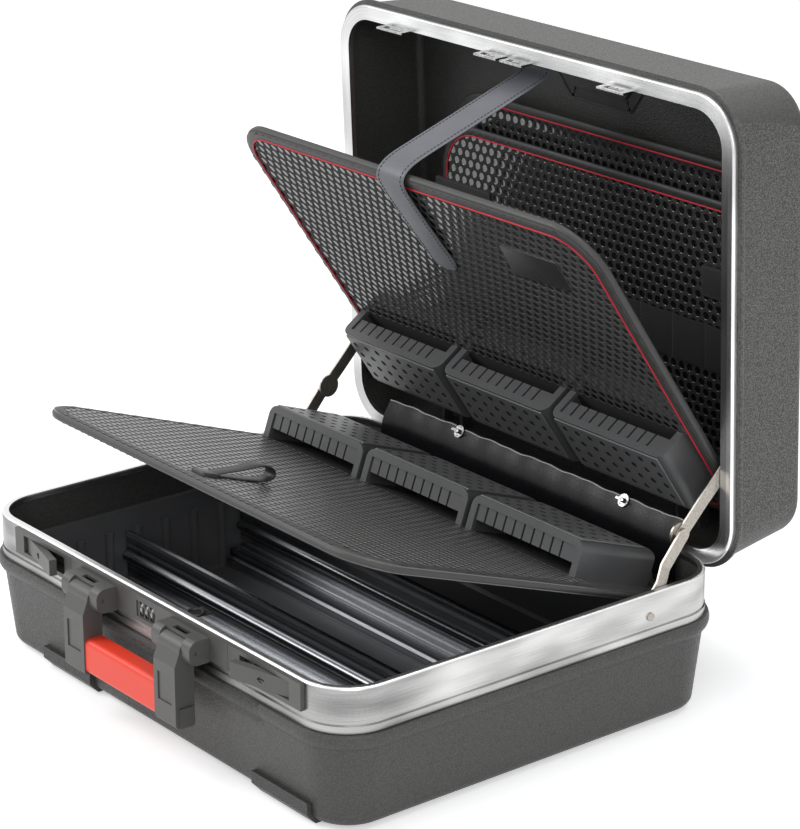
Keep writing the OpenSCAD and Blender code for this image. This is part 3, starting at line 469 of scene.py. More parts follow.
LEFT_RIGHT = ("left", "right")
dress(["base_shell"], BASE_SHELL)
dress(["foot_%s_%s" % (a, b) for a in ("front", "rear") for b in LEFT_RIGHT], FOOT)
dress(["lid_shell"], LID_SHELL)
dress(["lock_panel"] + ["%s_%s" % (n, s) for n in ("bracket", "handle_arm", "latch_lever", "key")
                        for s in LEFT_RIGHT], TRIM)
dress(["base_frame"], BASE_RIM)
dress(["lid_frame"], LID_RIM)
dress(["divider_front", "divider_rear"], DIVIDER)
dress(["%s_%s" % (n, s) for n in ("hinge_base", "hinge_lid", "stay_rivet", "stay_post", "stay_lower",
                                  "stay_upper") for s in LEFT_RIGHT], NICKEL)
dress(["lower_board"], FILM_LOWER)
dress(["upper_board"], FILM_UPPER)
dress(["%s_pocket_%d" % (b, i) for b in ("lower", "upper") for i in (1, 2, 3)], POCKET_PLASTIC)
dress(["base_liner"], LINER)
dress(["catch_left", "catch_mid", "catch_right", "stud_left", "stud_right"], CHROME)
dress(["dial_1", "dial_2", "dial_3"], BLACK_STEEL)
dress(["grip"], GRIP)


# ---- pieces ----
def add_piece(name, mesh, place, finish, body, sharp=40):
    mesh.transform(place)
    if place.determinant() < 0:
        mesh.flip_normals()
    mesh.materials.clear()
    mesh.materials.append(finish.mat)
    mesh.polygons.foreach_set("use_smooth", [True] * len(mesh.polygons))
    mesh.set_sharp_from_angle(angle=math.radians(sharp))
    o = bpy.data.objects.new(name, mesh)
    scene.collection.objects.link(o)
    if body:
        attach(o, body)
    return o


def loft(name, rings, ring_path=False):
    """Closed sections joined into one skin, capped where the path has ends."""
    n, m = len(rings[0]), len(rings)
    faces = []
    for i in range(m if ring_path else m - 1):
        k = (i + 1) % m
        faces += [(i * n + j, i * n + (j + 1) % n, k * n + (j + 1) % n, k * n + j) for j in range(n)]
    if not ring_path:
        faces += [tuple(range(n)), tuple(range((m - 1) * n, m * n))]
    me = bpy.data.meshes.new(name)
    me.from_pydata([p for r in rings for p in r], [], faces)
    bm = bmesh.new()
    bm.from_mesh(me)
    bmesh.ops.recalc_face_normals(bm, faces=bm.faces)
    bm.to_mesh(me)
    bm.free()
    return me


def rounded_path(corners, radius, arc=9, closed=False):
    """Corners in the plane joined by straight runs and fillets: points with their left normals."""
    pts = []
    n = len(corners)
    for i, c in enumerate(corners):
        c = Vector(c)
        if not radius or not closed and i in (0, n - 1):
            pts.append(c)
            continue
        before = (Vector(corners[i - 1]) - c).normalized()
        after = (Vector(corners[(i + 1) % n]) - c).normalized()
        half = before.angle(after) / 2
        reach = radius / math.tan(half)
        centre = c + (before + after).normalized() * (radius / math.sin(half))
        start, stop = c + before * reach - centre, c + after * reach - centre
        pts += [centre + start.lerp(stop, k / arc).normalized() * radius for k in range(arc + 1)]
    out = []
    count = len(pts)
    for i, p in enumerate(pts):
        a = pts[i - 1] if closed or i else p
        b = pts[(i + 1) % count] if closed or i < count - 1 else p
        along = (b - a).normalized()
        out.append((p, Vector((-along.y, along.x))))
    return out


LEFT, RIGHT = 1, -1


def edge_rings(path, section, inner=LEFT):
    """Section points are (distance inwards, height); inner is the side of the path that is inside."""
    return [[(p.x + n.x * d * inner, p.y + n.y * d * inner, h) for d, h in section] for p, n in path]


def circle(radius, sides, start=0.0):
    """Points of a circle round 0, the first one a share of a step on."""
    turns = [2 * math.pi * (k + start) / sides for k in range(sides)]
    return [(radius * math.cos(a), radius * math.sin(a)) for a in turns]


def tube_section(centre, radius):
    return [(centre[0] + x, centre[1] + y) for x, y in circle(radius, 8)]


def smooth_line(points, steps=6):
    """Catmull-Rom through the points."""
    p = [Vector(points[0])] + [Vector(q) for q in points] + [Vector(points[-1])]
    out = []
    for i in range(1, len(p) - 2):
        for k in range(steps):
            t = k / steps
            out.append(0.5 * ((2 * p[i]) + (p[i + 1] - p[i - 1]) * t
                              + (2 * p[i - 1] - 5 * p[i] + 4 * p[i + 1] - p[i + 2]) * t * t
                              + (3 * p[i] - p[i - 1] - 3 * p[i + 1] + p[i + 2]) * t ** 3))
    return out + [p[-2]]


ROUND_SHARE = 0.9    # the end stays a little flat


def ribbon(name, line, x0, x1, section, end_radius=0.0):
    """Strip across x that follows a line in (y, z).

    Section points are (share of the width, height above the line)."""
    rings = []
    for i, q in enumerate(line):
        a, b = line[max(i - 1, 0)], line[min(i + 1, len(line) - 1)]
        along = (b - a).normalized()
        up = Vector((-along.y, along.x))
        past_round = max(0.0, 1 - (q - line[-1]).length / end_radius) if end_radius else 0.0
        trim = end_radius * (1 - math.sqrt(1 - past_round * past_round)) * ROUND_SHARE
        rings.append([(x0 + trim + (x1 - x0 - 2 * trim) * s, *(q + up * h)) for s, h in section])
    return loft(name, rings)


def new_tree(name):
    tree = bpy.data.node_groups.new(name, "GeometryNodeTree")
    tree.interface.new_socket("Geometry", in_out="OUTPUT", socket_type="NodeSocketGeometry")
    tree.interface.new_socket("Geometry", in_out="INPUT", socket_type="NodeSocketGeometry")
    return tree


def tree_inputs(tree, **sizes):
    """Inputs of a tree by name; None is a material, "object" an object."""
    for name, value in sizes.items():
        kind = ("NodeSocketMaterial" if value is None else "NodeSocketObject" if value == "object" else
                "NodeSocketInt" if isinstance(value, int) else "NodeSocketFloat")
        sock = tree.interface.new_socket(name, in_out="INPUT", socket_type=kind)
        if kind in ("NodeSocketInt", "NodeSocketFloat"):
            sock.default_value = value
    group = tree.nodes.new("NodeGroupInput")
    return {s.name: Val(tree, s) for s in group.outputs if s.name}


def grow(tree, name, start=None, **values):
    """Run a geometry tree and keep the plain mesh."""
    holder = bpy.data.objects.new(name + "_holder", start or bpy.data.meshes.new(name + "_seed"))
    scene.collection.objects.link(holder)
    mod = holder.modifiers.new("nodes", "NODES")
    mod.node_group = tree
    for item in tree.interface.items_tree:
        if item.in_out == "INPUT" and item.name in values:
            mod[item.identifier] = values[item.name]
    view = bpy.context.evaluated_depsgraph_get()
    mesh = bpy.data.meshes.new_from_object(holder.evaluated_get(view), depsgraph=view)
    mesh.name = name
    bpy.data.objects.remove(holder)
    return mesh


def cell_tree(keep_out):
    """Rows of one cell inside a rounded outline, every other row shifted by half a pitch."""
    tree = new_tree("embossing")
    get = tree_inputs(tree, Cell="object", Pitch=0.0, Row=0.0, Shift=0.5, Across=2, Rows=2, MiddleY=0.0,
                      HalfX=0.0, HalfY=0.0, Corner=0.0, Height=0.0, Finish=None)
    size_x, size_y = (get["Across"] - 1) * get["Pitch"], (get["Rows"] - 1) * get["Row"]
    grid = add_node(tree, "GeometryNodeMeshGrid", {},
                    {"Size X": size_x, "Size Y": size_y,
                     "Vertices X": get["Across"], "Vertices Y": get["Rows"]})
    index = add_node(tree, "GeometryNodeInputIndex")
    odd = (index % get["Rows"]) % 2
    offset = add_node(tree, "ShaderNodeCombineXYZ", {},
                      {0: odd * get["Shift"] * get["Pitch"], 1: get["MiddleY"], 2: get["Height"]})
    moved = add_node(tree, "GeometryNodeSetPosition", {}, {"Geometry": grid, "Offset": offset})
    x, y, z = add_node(tree, "GeometryNodeInputPosition").parts()
    qx = (abs(x) - get["HalfX"] + get["Corner"]).max(0)
    qy = (abs(y - get["MiddleY"]) - get["HalfY"] + get["Corner"]).max(0)
    outside = (qx * qx + qy * qy) > get["Corner"] * get["Corner"]
    for x0, x1, y0, y1 in keep_out:
        outside = outside.max((x > x0) * (x < x1) * (y > y0) * (y < y1))
    points = add_node(tree, "GeometryNodeDeleteGeometry", {"domain": "POINT"},
                      {0: moved, "Selection": outside})
    cell = tree.nodes.new("GeometryNodeObjectInfo")
    tree.links.new(get["Cell"].sock, cell.inputs["Object"])
    placed = add_node(tree, "GeometryNodeInstanceOnPoints", {},
                      {"Points": points, "Instance": Val(tree, cell.outputs["Geometry"])})
    whole = add_node(tree, "GeometryNodeRealizeInstances", {}, {0: placed})
    joined = add_node(tree, "GeometryNodeMergeByDistance", {}, {"Geometry": whole, "Distance": 0.02})
    done = add_node(tree, "GeometryNodeSetMaterial", {}, {"Geometry": joined, "Material": get["Finish"]})
    out = tree.nodes.new("NodeGroupOutput")
    tree.links.new(done.sock, out.inputs[0])
    return tree


def cell_object(name, border, rings, drop):
    """One cell: a flat border round rings of (radius, depth) down to the middle.

    Its attribute pit is 0 on the border and 1 at the bottom."""
    sides = 12
    verts = [(*p, 0) for p in border]
    pit = [0.0] * len(border)
    for r, d in rings:
        verts += [(x, y, -d) for x, y in circle(r, sides, 0.5)]
        pit += [d / drop] * sides
    verts.append((0, 0, -drop))
    pit.append(1.0)
    me = bpy.data.meshes.new(name)
    bm = bmesh.new()
    vs = [bm.verts.new(v) for v in verts]
    b = len(border)
    first = vs[b:b + sides]
    angle = [math.atan2(p[1], p[0]) for p in border]

    def nearest(turn):
        return min(range(b), key=lambda i: abs(math.remainder(angle[i] - turn, math.tau)))

    near = [nearest(2 * math.pi * (k + 0.5) / sides) for k in range(sides)]
    for k in range(sides):
        j = (k + 1) % sides
        bm.faces.new((vs[near[k]], first[j], first[k]) if near[k] == near[j] else
                     (vs[near[k]], vs[near[j]], first[j], first[k]))
    for i in range(len(rings) - 1):
        a, c = b + i * sides, b + (i + 1) * sides
        for k in range(sides):
            j = (k + 1) % sides
            bm.faces.new((vs[a + k], vs[a + j], vs[c + j], vs[c + k]))
    last = b + (len(rings) - 1) * sides
    for k in range(sides):
        bm.faces.new((vs[last + k], vs[last + (k + 1) % sides], vs[-1]))
    bmesh.ops.recalc_face_normals(bm, faces=bm.faces)
    for f in bm.faces:
        if f.normal.z < 0:
            f.normal_flip()
    bm.to_mesh(me)
    bm.free()
    me.attributes.new("pit", "FLOAT", "POINT").data.foreach_set("value", pit)
    o = bpy.data.objects.new(name, me)
    scene.collection.objects.link(o)
    return o


PITCH, ROW = 9.28, 8.1
HEX = [(0, ROW / 1.5), (-PITCH / 2, ROW / 3), (-PITCH / 2, -ROW / 3),
       (0, -ROW / 1.5), (PITCH / 2, -ROW / 3), (PITCH / 2, ROW / 3)]
DIMPLE_DROP = 0.6
DIMPLE_RINGS = [(3.6, 0), (3.35, 0.28), (3.05, 0.5), (1.6, 0.58)]    # radius, depth
dimple = cell_object("dimple", HEX, DIMPLE_RINGS, DIMPLE_DROP)


def embossed(name, place, body, finish, half_x, y0, y1, corner, height, keep_out=()):
    across = 2 * round(half_x / PITCH) + 1
    rows = 2 * round((y1 - y0) / ROW / 2) + 1
    mesh = grow(cell_tree(keep_out), name, Cell=dimple, Pitch=PITCH, Row=ROW, Across=across, Rows=rows,
                MiddleY=(y0 + y1) / 2, HalfX=half_x, HalfY=(y1 - y0) / 2, Corner=corner, Height=height,
                Finish=finish.mat)
    return add_piece(name, mesh, place, finish, body, sharp=24)


# tool boards: film, edge tape and piping
TAPE_W, TAPE_TOP, FILM_TOP = 9.2, 1.25, 1.0
FILM_UNDER_TAPE = 2.5
UNDER_FLAT = 0.56    # the under side is flatter, to seat on the ledge
LUG_X, LUG_GAP = 150.0, 16.0


def tape_section():
    t, top = BOARD_T / 2, BOARD_T / 2 + TAPE_TOP
    outer = [(TAPE_W, t), (TAPE_W, t + 0.55), (TAPE_W - 0.4, top), (5.4, top + 0.02), (3.6, top - 0.25),
             (2.0, top - 0.95), (0.9, top - 2.0), (0.25, top - 3.2), (0.05, 0)]
    under = [(d, -t - (h - t) * UNDER_FLAT if h > t else -h) for d, h in reversed(outer[:-1])]
    return outer + under + [(1.1, -t), (1.1, t)]


def board_dress(side, place, body, film, tape, length, mouth, depth, keep_out):
    """Tape round a board and film on both its sides; returns the outline that the tape follows."""
    half, back, front = BOARD_W / 2, -BOARD_BACK, -length
    main = rounded_path([(LUG_X + LUG_GAP, back), (half, back), (half, front), (-half, front), (-half, back),
                         (-LUG_X - LUG_GAP, back)], BOARD_R)
    mid = rounded_path([(LUG_GAP - LUG_X, back), (LUG_X - LUG_GAP, back)], 0)
    band, strip = [
        add_piece(side + name, loft(side + name, edge_rings(path, tape_section(), RIGHT)), place, tape, body)
        for name, path in (("_edge_tape", main), ("_edge_tape_back", mid))]
    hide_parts(side + "_binding")
    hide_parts(side + "_binding")
    edge = TAPE_W - FILM_UNDER_TAPE
    area = (half - edge, front + edge, back - edge, BOARD_R - edge)
    pockets = (-half, half, front + mouth - 2, front + mouth + depth + 8)
    embossed(side + "_film_tool_side", place, body, film, *area, BOARD_T / 2 + FILM_TOP, [pockets] + keep_out)
    under = (place @ Matrix.Rotation(math.pi, 4, "Y") @ Matrix.Translation((0, 0, BOARD_T / 2))
             @ Matrix.Diagonal((1, 1, UNDER_FLAT, 1)))
    embossed(side + "_film_under_side", under, body, film, *area, FILM_TOP)
    return main


CLIP_SPACE = (-22, 2, -331, -308)
PATCH_SPACE = (102, 158, -280, -256)
board_dress("lower", AT_LOWER, "lower_board", FILM_LOWER, TAPE_LOWER, LOW_LEN, 238, 80, [CLIP_SPACE])
upper_edge = board_dress("upper", AT_UPPER, "upper_board", FILM_UPPER, TAPE_UPPER, UP_LEN, 224, 64,
                         [PATCH_SPACE])
CORD_R = 0.75
upper_cord = edge_rings(upper_edge, tube_section((TAPE_W + 0.45, BOARD_T / 2 + 1.4), CORD_R), RIGHT)
add_piece("upper_red_piping", loft("upper_red_piping", upper_cord), AT_UPPER, RED_CORD, "upper_board")


# ---- pockets of the lid ----
FACING = AT_LID @ Matrix.Diagonal((1, 1, -1, 1))    # height counts out of the lid
REAR_Z, FRONT_Z = LID_H - 18.1, LID_H - 32
POCKET_R, WELT, PANEL_IN = 44.0, 7.0, 6.2


def lid_pocket(name, left, right, y0, y1, z, thick, depth, mouth):
    """Padded panel with a bound edge, red piping, and a gusset on three sides down to the lid."""
    face = -z + 0.2
    corners = [(right, y0), (right, y1), (left, y1), (left, y0)]
    path = rounded_path(corners, POCKET_R, closed=True)
    welt = [(WELT, face - 0.3), (WELT, face + 0.5), (WELT - 0.5, face + 0.9), (4, face + 1.0),
            (1.2, face + 0.6), (0.1, face - 0.4), (-0.1, face - thick / 2), (0.3, face - thick - 0.2),
            (3, face - thick - 0.6), (6, face - thick - 0.4), (6, face - thick + 0.1)]
    levels = (face - thick + 0.3, face - 0.2)
    layers = [[(p.x + n.x * PANEL_IN, p.y + n.y * PANEL_IN, h) for p, n in path] for h in levels]
    panel = add_piece(name + "_panel", loft(name, layers), FACING, LINING, "lid")
    edge = add_piece(name + "_welt", loft(name, edge_rings(path, welt), True), FACING, TAPE_LID, "lid")
    cord = edge_rings(path, tube_section((WELT + 0.5, face + 0.75), CORD_R))
    add_piece(name + "_piping", loft(name, cord, True), FACING, RED_CORD, "lid")
    middle = FACING @ Matrix.Translation(((left + right) / 2, 0, 0))
    embossed(name + "_film", middle, "lid", FILM_LID, (right - left) / 2 - WELT, y0 + WELT, y1 - WELT,
             POCKET_R - WELT, face + FILM_TOP)
    sides = rounded_path([(right - 1, mouth), (right - 1, y1 - 1), (left + 1, y1 - 1), (left + 1, mouth)],
                         POCKET_R - 1)
    bottom = face - thick - 0.2
    pleat = [(0, bottom), (-0.8, bottom - depth * 0.25), (0.4, bottom - depth * 0.5),
             (-0.8, bottom - depth * 0.75), (0, bottom - depth), (2.5, bottom - depth),
             (1.6, bottom - depth * 0.75), (2.8, bottom - depth * 0.5), (1.6, bottom - depth * 0.25),
             (2.5, bottom)]
    gusset = add_piece(name + "_gusset", loft(name, edge_rings(sides, pleat)), FACING, LINING, "lid")
    for piece in (panel, edge, gusset):
        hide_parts(name)


lid_pocket("rear_pocket", -173.0, 214.0, 76.0, CASE_D - 19.4, REAR_Z, 1.5, 14.5, 120)
lid_pocket("front_pocket", -169.0, 216.0, 102.5, CASE_D - 21.4, FRONT_Z, 2.0, 10.5, 200)
bpy.data.objects.remove(dimple)


# ---- stitches ----
def capsule(name, length, radius):
    """Stitch along z, rounded at both ends."""
    end, shoulder = length / 2, length / 2 - 0.35
    rings = [[(x, y, z) for x, y in circle(share * radius, 6)]
             for share, z in ((0.45, -end), (1, -shoulder), (1, shoulder), (0.45, end))]
    o = bpy.data.objects.new(name, loft(name, rings))
    scene.collection.objects.link(o)
    return o


def row_tree():
    """Copies of one thing along every line of the start mesh."""
    tree = new_tree("rows")
    get = tree_inputs(tree, Copy="object", Spacing=0.0, Finish=None)
    lines = add_node(tree, "GeometryNodeMeshToCurve", {}, {"Mesh": get["Geometry"]})
    node = tree.nodes.new("GeometryNodeCurveToPoints")
    node.mode = "LENGTH"
    tree.links.new(lines.sock, node.inputs["Curve"])
    tree.links.new(get["Spacing"].sock, node.inputs["Length"])
    info = tree.nodes.new("GeometryNodeObjectInfo")
    tree.links.new(get["Copy"].sock, info.inputs["Object"])
    points, turns = [Val(tree, node.outputs[n]) for n in ("Points", "Rotation")]
    copy = Val(tree, info.outputs["Geometry"])
    placed = add_node(tree, "GeometryNodeInstanceOnPoints", {},
                      {"Points": points, "Instance": copy, "Rotation": turns})
    whole = add_node(tree, "GeometryNodeRealizeInstances", {}, {0: placed})
    done = add_node(tree, "GeometryNodeSetMaterial", {}, {"Geometry": whole, "Material": get["Finish"]})
    out = tree.nodes.new("NodeGroupOutput")
    tree.links.new(done.sock, out.inputs[0])
    return tree


ROWS = row_tree()


def sew(name, lines, place, body, copy, spacing, finish):
    """Rows of stitches along lines of points."""
    me = bpy.data.meshes.new(name + "_lines")
    verts, edges = [], []
    for line in lines:
        first = len(verts)
        verts += [tuple(p) for p in line]
        edges += [(first + i, first + i + 1) for i in range(len(line) - 1)]
    me.from_pydata(verts, edges, [])
    mesh = grow(ROWS, name, me, Copy=copy, Spacing=spacing, Finish=finish.mat)
    return add_piece(name, mesh, place, finish, body)


def offset_line(line, x, height):
    """The line in (y, z) moved off by a height, at one x."""
    out = []
    for i, q in enumerate(line):
        along = (line[min(i + 1, len(line) - 1)] - line[max(i - 1, 0)]).normalized()
        out.append((x, q.x - along.y * height, q.y + along.x * height))
    return out


def run_length(line):
    """Length of a line of points, in its own units."""
    return sum((b - a).length for a, b in zip(line, line[1:]))


STITCH = capsule("stitch", 2.4, 0.46)
FINE_STITCH = capsule("fine_stitch", 1.5, 0.26)

# ---- strap from the lid to the upper board ----
STRAP_X = (-20.0, 14.0)
STRAP_LID = [(7.9, 46), (7.3, 36), (11, 28), (19, 21)]
STRAP_AIR = [(-297.9, -148), (-304.8, -121), (-313.5, -88), (-321.5, -58), (-328.5, -32), (-333.2, -13),
             (-333.8, -2), (-331.2, 5), (-325, 8), (-312, 8.4), (-296, 7.8), (-278, 7), (-260, 6),
             (-244, 5), (-234, 4.8), (-226, 4.7)]
strap_line = smooth_line([on_lid(0, y, z)[1:] for y, z in STRAP_LID]
                         + [on_upper(0, y, z)[1:] for y, z in STRAP_AIR], 5)
HALF_STRAP = [(0, 0), (0.012, 0.5), (0.045, 0.78), (0.1, 0.62), (0.17, 0.82), (0.5, 0.95), (0.83, 0.82),
              (0.9, 0.62), (0.955, 0.78), (0.988, 0.5), (1, 0)]
SOFT_ANGLE = 60    # soft strips keep their round edges smooth
STRAP_SEAM_IN, STRAP_SEAM_H, CROSS_SEAM, CROSS_SEAM_H = 3.5, 0.68, -8, 0.9
STRAP_END_R = 14.0
strap_section = HALF_STRAP + [(s, -h) for s, h in reversed(HALF_STRAP[1:-1])]
strap = add_piece("strap_leather", ribbon("strap", strap_line, *STRAP_X, strap_section, STRAP_END_R), AT_BASE,
                  STRAP, None, SOFT_ANGLE)
seam_x = [STRAP_X[0] + STRAP_SEAM_IN, STRAP_X[1] - STRAP_SEAM_IN]
seams = [offset_line(strap_line, x, h) for x in seam_x for h in (STRAP_SEAM_H, -STRAP_SEAM_H)]
cross_y, cross_z = strap_line[CROSS_SEAM]
seams.append([(x, cross_y, cross_z + CROSS_SEAM_H) for x in seam_x])
strap_seam = sew("strap_seams", seams, AT_BASE, None, STITCH, 3.6, THREAD)
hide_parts("strap")
STRAP_FIXED, STRAP_FREE = T(-3, 385, 348), T(-3, 260, 270)
for piece in (strap, strap_seam):
    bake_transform(piece)
run_length(strap_line) / 1000

# ---- sheet over the gap of the hinge ----
COVER_X = (54 - CASE_W / 2, CASE_W / 2 - 50)
COVER_LINE = [(CASE_D - 8.4, -25), (CASE_D - 8.1, -12), (CASE_D - 7.3, 2), (CASE_D - 3.4, 12),
              (CASE_D + 2.6, 22)]
COVER_HALF_T, COVER_STEPS = 0.7, 140


def wave(x):
    """How far the upper edge of the sheet rises and falls."""
    return 0.5 * math.sin(x / 9.0) + 0.35 * math.sin(x / 4.1 + 1) + 0.25 * math.sin(x / 23.0)


cover_line = smooth_line(COVER_LINE, 4)


def cover_ring(x):
    share = [i / (len(cover_line) - 1) for i in range(len(cover_line))]
    front, back = [[(px, py, pz + wave(x) * s) for (px, py, pz), s in zip(offset_line(cover_line, x, h), share)]
                   for h in (COVER_HALF_T, -COVER_HALF_T)]
    return front + back[::-1]


def spread(limits, count):
    """Places from one limit to the other, in so many even steps."""
    return [limits[0] + (limits[1] - limits[0]) * i / count for i in range(count + 1)]


cover_x = spread(COVER_X, COVER_STEPS)
cover = add_piece("hinge_cover_sheet", loft("cover", [cover_ring(x) for x in cover_x]), AT_BASE, COVER,
                  None, 50)
top_y, top_z = COVER_LINE[-1]
# pale tube along the sheet's wavy top edge: a painted highlight where the edge catches the light
welt = add_piece("hinge_cover_edge", loft("cover_edge", [
    [(x, top_y + 0.8 * cos_a, top_z + wave(x) + 0.3 + 0.55 * sin_a) for cos_a, sin_a in circle(1, 8)]
    for x in cover_x]), AT_BASE, PAINTED_HIGHLIGHT_EDGE, None)
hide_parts("hinge_cover")
for piece in (cover, welt):
    T(0, CASE_D - 8, -10)
    T(0, CASE_D + 2, 21)
    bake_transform(piece)
run_length(cover_line) / 1000

# ---- webbing loops on the front pocket ----
WEB_X, WEB_Y = (30.0, 190.0), (206.5, 243.5)
WEB_SEAMS = (36.0, 83.0, 120.0, 158.0, 184.0)


def web_height(x):
    """Pinned at the seams, proud between them."""
    gap = min(abs(x - s) for s in WEB_SEAMS)
    return 1.3 + 1.8 * (1 - math.exp(-gap / 5.0))


web_rings = []
for x in spread(WEB_X, 80):
    top = -FRONT_Z + web_height(x) - 0.3
    web_rings.append([(x, WEB_Y[0], top - 1.2), (x, WEB_Y[0], top - 0.2), (x, WEB_Y[0] + 1.5, top),
                      (x, WEB_Y[1] - 1.5, top), (x, WEB_Y[1], top - 0.2), (x, WEB_Y[1], top - 1.2)])
web = add_piece("webbing_loops", loft("webbing", web_rings), FACING, WEB, "lid")
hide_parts("webbing")
seam_lines = [[(x, y, 1.1 - FRONT_Z) for y in (WEB_Y[0] + 1, WEB_Y[1] - 1)] for x in WEB_SEAMS]
web_seams = sew("webbing_seams", seam_lines, FACING, "lid", STITCH, 3.0, GREY_THREAD)
web_line = [Vector((x, web_height(x))) for x in spread(WEB_X, 80)]
run_length(web_line) / 1000

# ---- loop that lifts the lower board ----
LOOP_X, LOOP_Y = (-18.0, -4.0), -LOW_LEN
LOOP_LINE = [(28, 5.3), (40, 8.3), (55, 12), (68, 16.2), (78, 17.8), (85, 16.4), (88, 12.4), (86.5, 8.4),
             (80, 5.9), (66, 4.9), (48, 4.5), (28, 4.3)]
loop_line = smooth_line([on_lower(0, LOOP_Y + y, z)[1:] for y, z in LOOP_LINE], 5)
LOOP_SECTION = [(0, -0.25), (0, 0.25), (0.06, 0.55), (0.5, 0.65), (0.94, 0.55), (1, 0.25), (1, -0.25),
                (0.94, -0.55), (0.5, -0.6), (0.06, -0.55)]
loop = add_piece("pull_loop_leather", ribbon("loop", loop_line, *LOOP_X, LOOP_SECTION), AT_BASE, LOOP_LEATHER,
                 "lower_board", SOFT_ANGLE)
loop_seams = sew("pull_loop_seams", [offset_line(loop_line, x, h) for x in (LOOP_X[0] + 1.8, LOOP_X[1] - 1.8)
                        for h in (0.5, -0.5)], AT_BASE, "lower_board", FINE_STITCH, 2.4, GREY_THREAD)
run_length(loop_line) / 1000


def slab(name, outline, z0, z1, bevel, place, finish, body, radius=2.0):
    """Flat plate with a rounded outline and a soft upper edge."""
    path = rounded_path(outline, radius, arc=5, closed=True)
    rings = [[(p.x + n.x * d, p.y + n.y * d, h) for p, n in path]
             for d, h in ((0, z0), (0, z1 - bevel), (bevel * 0.3, z1 - bevel * 0.3), (bevel, z1))]
    return add_piece(name, loft(name, rings), place, finish, body)


def box_outline(x0, x1, y0, y1):
    return [(x0, y0), (x1, y0), (x1, y1), (x0, y1)]


clip = slab("pull_loop_clip", box_outline(-19.4, -2.6, 16.5 - LOW_LEN, 33 - LOW_LEN), BOARD_T / 2,
            BOARD_T / 2 + 3.6, 1.0, AT_LOWER, LOOP_LEATHER, "lower_board")
for piece in (loop, clip):
    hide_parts("pull_loop")
PATCH_OUTLINE = [(97, -285), (164, -286), (164, -255), (94, -251)]
slab("upper_patch", PATCH_OUTLINE, BOARD_T / 2, BOARD_T / 2 + FILM_TOP + 0.7, 0.5, AT_UPPER, PATCH,
     "upper_board")
slab("lower_clip_plate", box_outline(-24, 4, -333, -306), BOARD_T / 2, BOARD_T / 2 + 0.7, 0.3, AT_LOWER, PATCH,
     "lower_board")

# ---- fabric hooks on the front pocket, and the moulded recess behind the lid's frame ----
HOOK_TOP, HOOK_SEAM = 2.9, 1.6
HOOKS = {"pocket_hook_strip": (-176, -103, 154.5, 168), "pocket_hook_square": (154, 178, 157.5, 183)}
for name, area in HOOKS.items():
    slab(name, box_outline(*area), 0.6 - FRONT_Z, HOOK_TOP - FRONT_Z, 0.6, FACING, WEB, "lid")
    x0, x1, y0, y1 = area
    border = box_outline(x0 + HOOK_SEAM, x1 - HOOK_SEAM, y0 + HOOK_SEAM, y1 - HOOK_SEAM)
    seam = [(x, y, HOOK_TOP - FRONT_Z) for x, y in border + border[:1]]
    sew(name + "_seam", [seam], FACING, "lid", FINE_STITCH, 2.6, GREY_THREAD)
INNER_Z = LID_H - 3.0
RECESS = [(-62, 24), (-47, 46), (-31, 63.5), (40, 63.5), (53, 46), (64, 24)]
recess_path = rounded_path(RECESS, 5, arc=5)
# the channel is a flat band in the near-black lining: painted shade for the groove of the recess
channel = [(d, h - INNER_Z) for d, h in ((1, -0.6), (1, 0.5), (10, 0.5), (10, -0.6))]
lip = tube_section((0.2, 0.4 - INNER_Z), 1.1)
for name, section, finish in (("lid_recess_channel", channel, LINING), ("lid_recess_lip", lip, LID_SHELL)):
    add_piece(name, loft(name, edge_rings(recess_path, section, RIGHT)), FACING, finish, "lid")
ISLAND = [(54, 20), (43, 42), (35, 53.5), (-25, 53.5), (-36, 42), (-50, 20)]
slab("lid_recess_island", ISLAND, -0.6 - INNER_Z, 2.6 - INNER_Z, 1.4, FACING, LID_SHELL, "lid", 4)

# ---- tab with a snap on the inside of the front rim ----
TAB = [(5.6, -7), (9, -6.8), (14, -7.4), (20, -8.4), (26, -8.6), (30, -8.2)]
tab_line = smooth_line(TAB, 5)
TAB_X = (30.5, 45.5)
tab = add_piece("snap_tab_leather", ribbon("tab", tab_line, *TAB_X, LOOP_SECTION), AT_BASE, LOOP_LEATHER,
                "base", SOFT_ANGLE)
run_length(tab_line) / 1000
plate = add_piece("snap_tab_base", loft("tab_base", [
    [(x, 5.6, z), (x, 6.9, z), (x, 7.5, z - 0.6), (x, 7.5, z - 6.6), (x, 6.9, z - 7.4), (x, 5.6, z - 7.4)]
    for x, z in ((24.5, -6.2), (26, -5.6), (50, -5.6), (51.5, -6.2))]), AT_BASE, LOOP_LEATHER, "base")
for piece in (tab, plate):
    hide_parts("snap_tab")
EYELET_X, EYELET_Y, EYELET_R = 38, 19, 6.2
ring_path = [(Vector((EYELET_X + EYELET_R * cos_a, EYELET_Y + EYELET_R * sin_a)), Vector((-cos_a, -sin_a)))
             for cos_a, sin_a in circle(1, 32)]
add_piece("snap_tab_eyelet", loft("eyelet", edge_rings(ring_path, tube_section((0, -7.4), 1.1)), True),
          AT_BASE, BLACK_STEEL, "base")

# ---- perforated tops of the tool pockets ----
HOLE_X, HOLE_Y, HOLE_R, SKIN_T = 14.8, 12.9, 2.8, 0.8
UNBOUNDED = 900.0    # an outline wide enough to cut no cell away
ROUND_THE_CELL = ((-0.5, -0.5), (0, -0.5), (0.5, -0.5), (0.5, 0), (0.5, 0.5), (0, 0.5), (-0.5, 0.5), (-0.5, 0))
SQUARE = [(HOLE_X * a, HOLE_Y * b) for a, b in ROUND_THE_CELL]
hole = cell_object("hole", SQUARE, [(HOLE_R + 0.15, 0), (HOLE_R, 0.12), (HOLE_R, SKIN_T - 0.05),
                                    (HOLE_R * 0.5, SKIN_T)], SKIN_T)


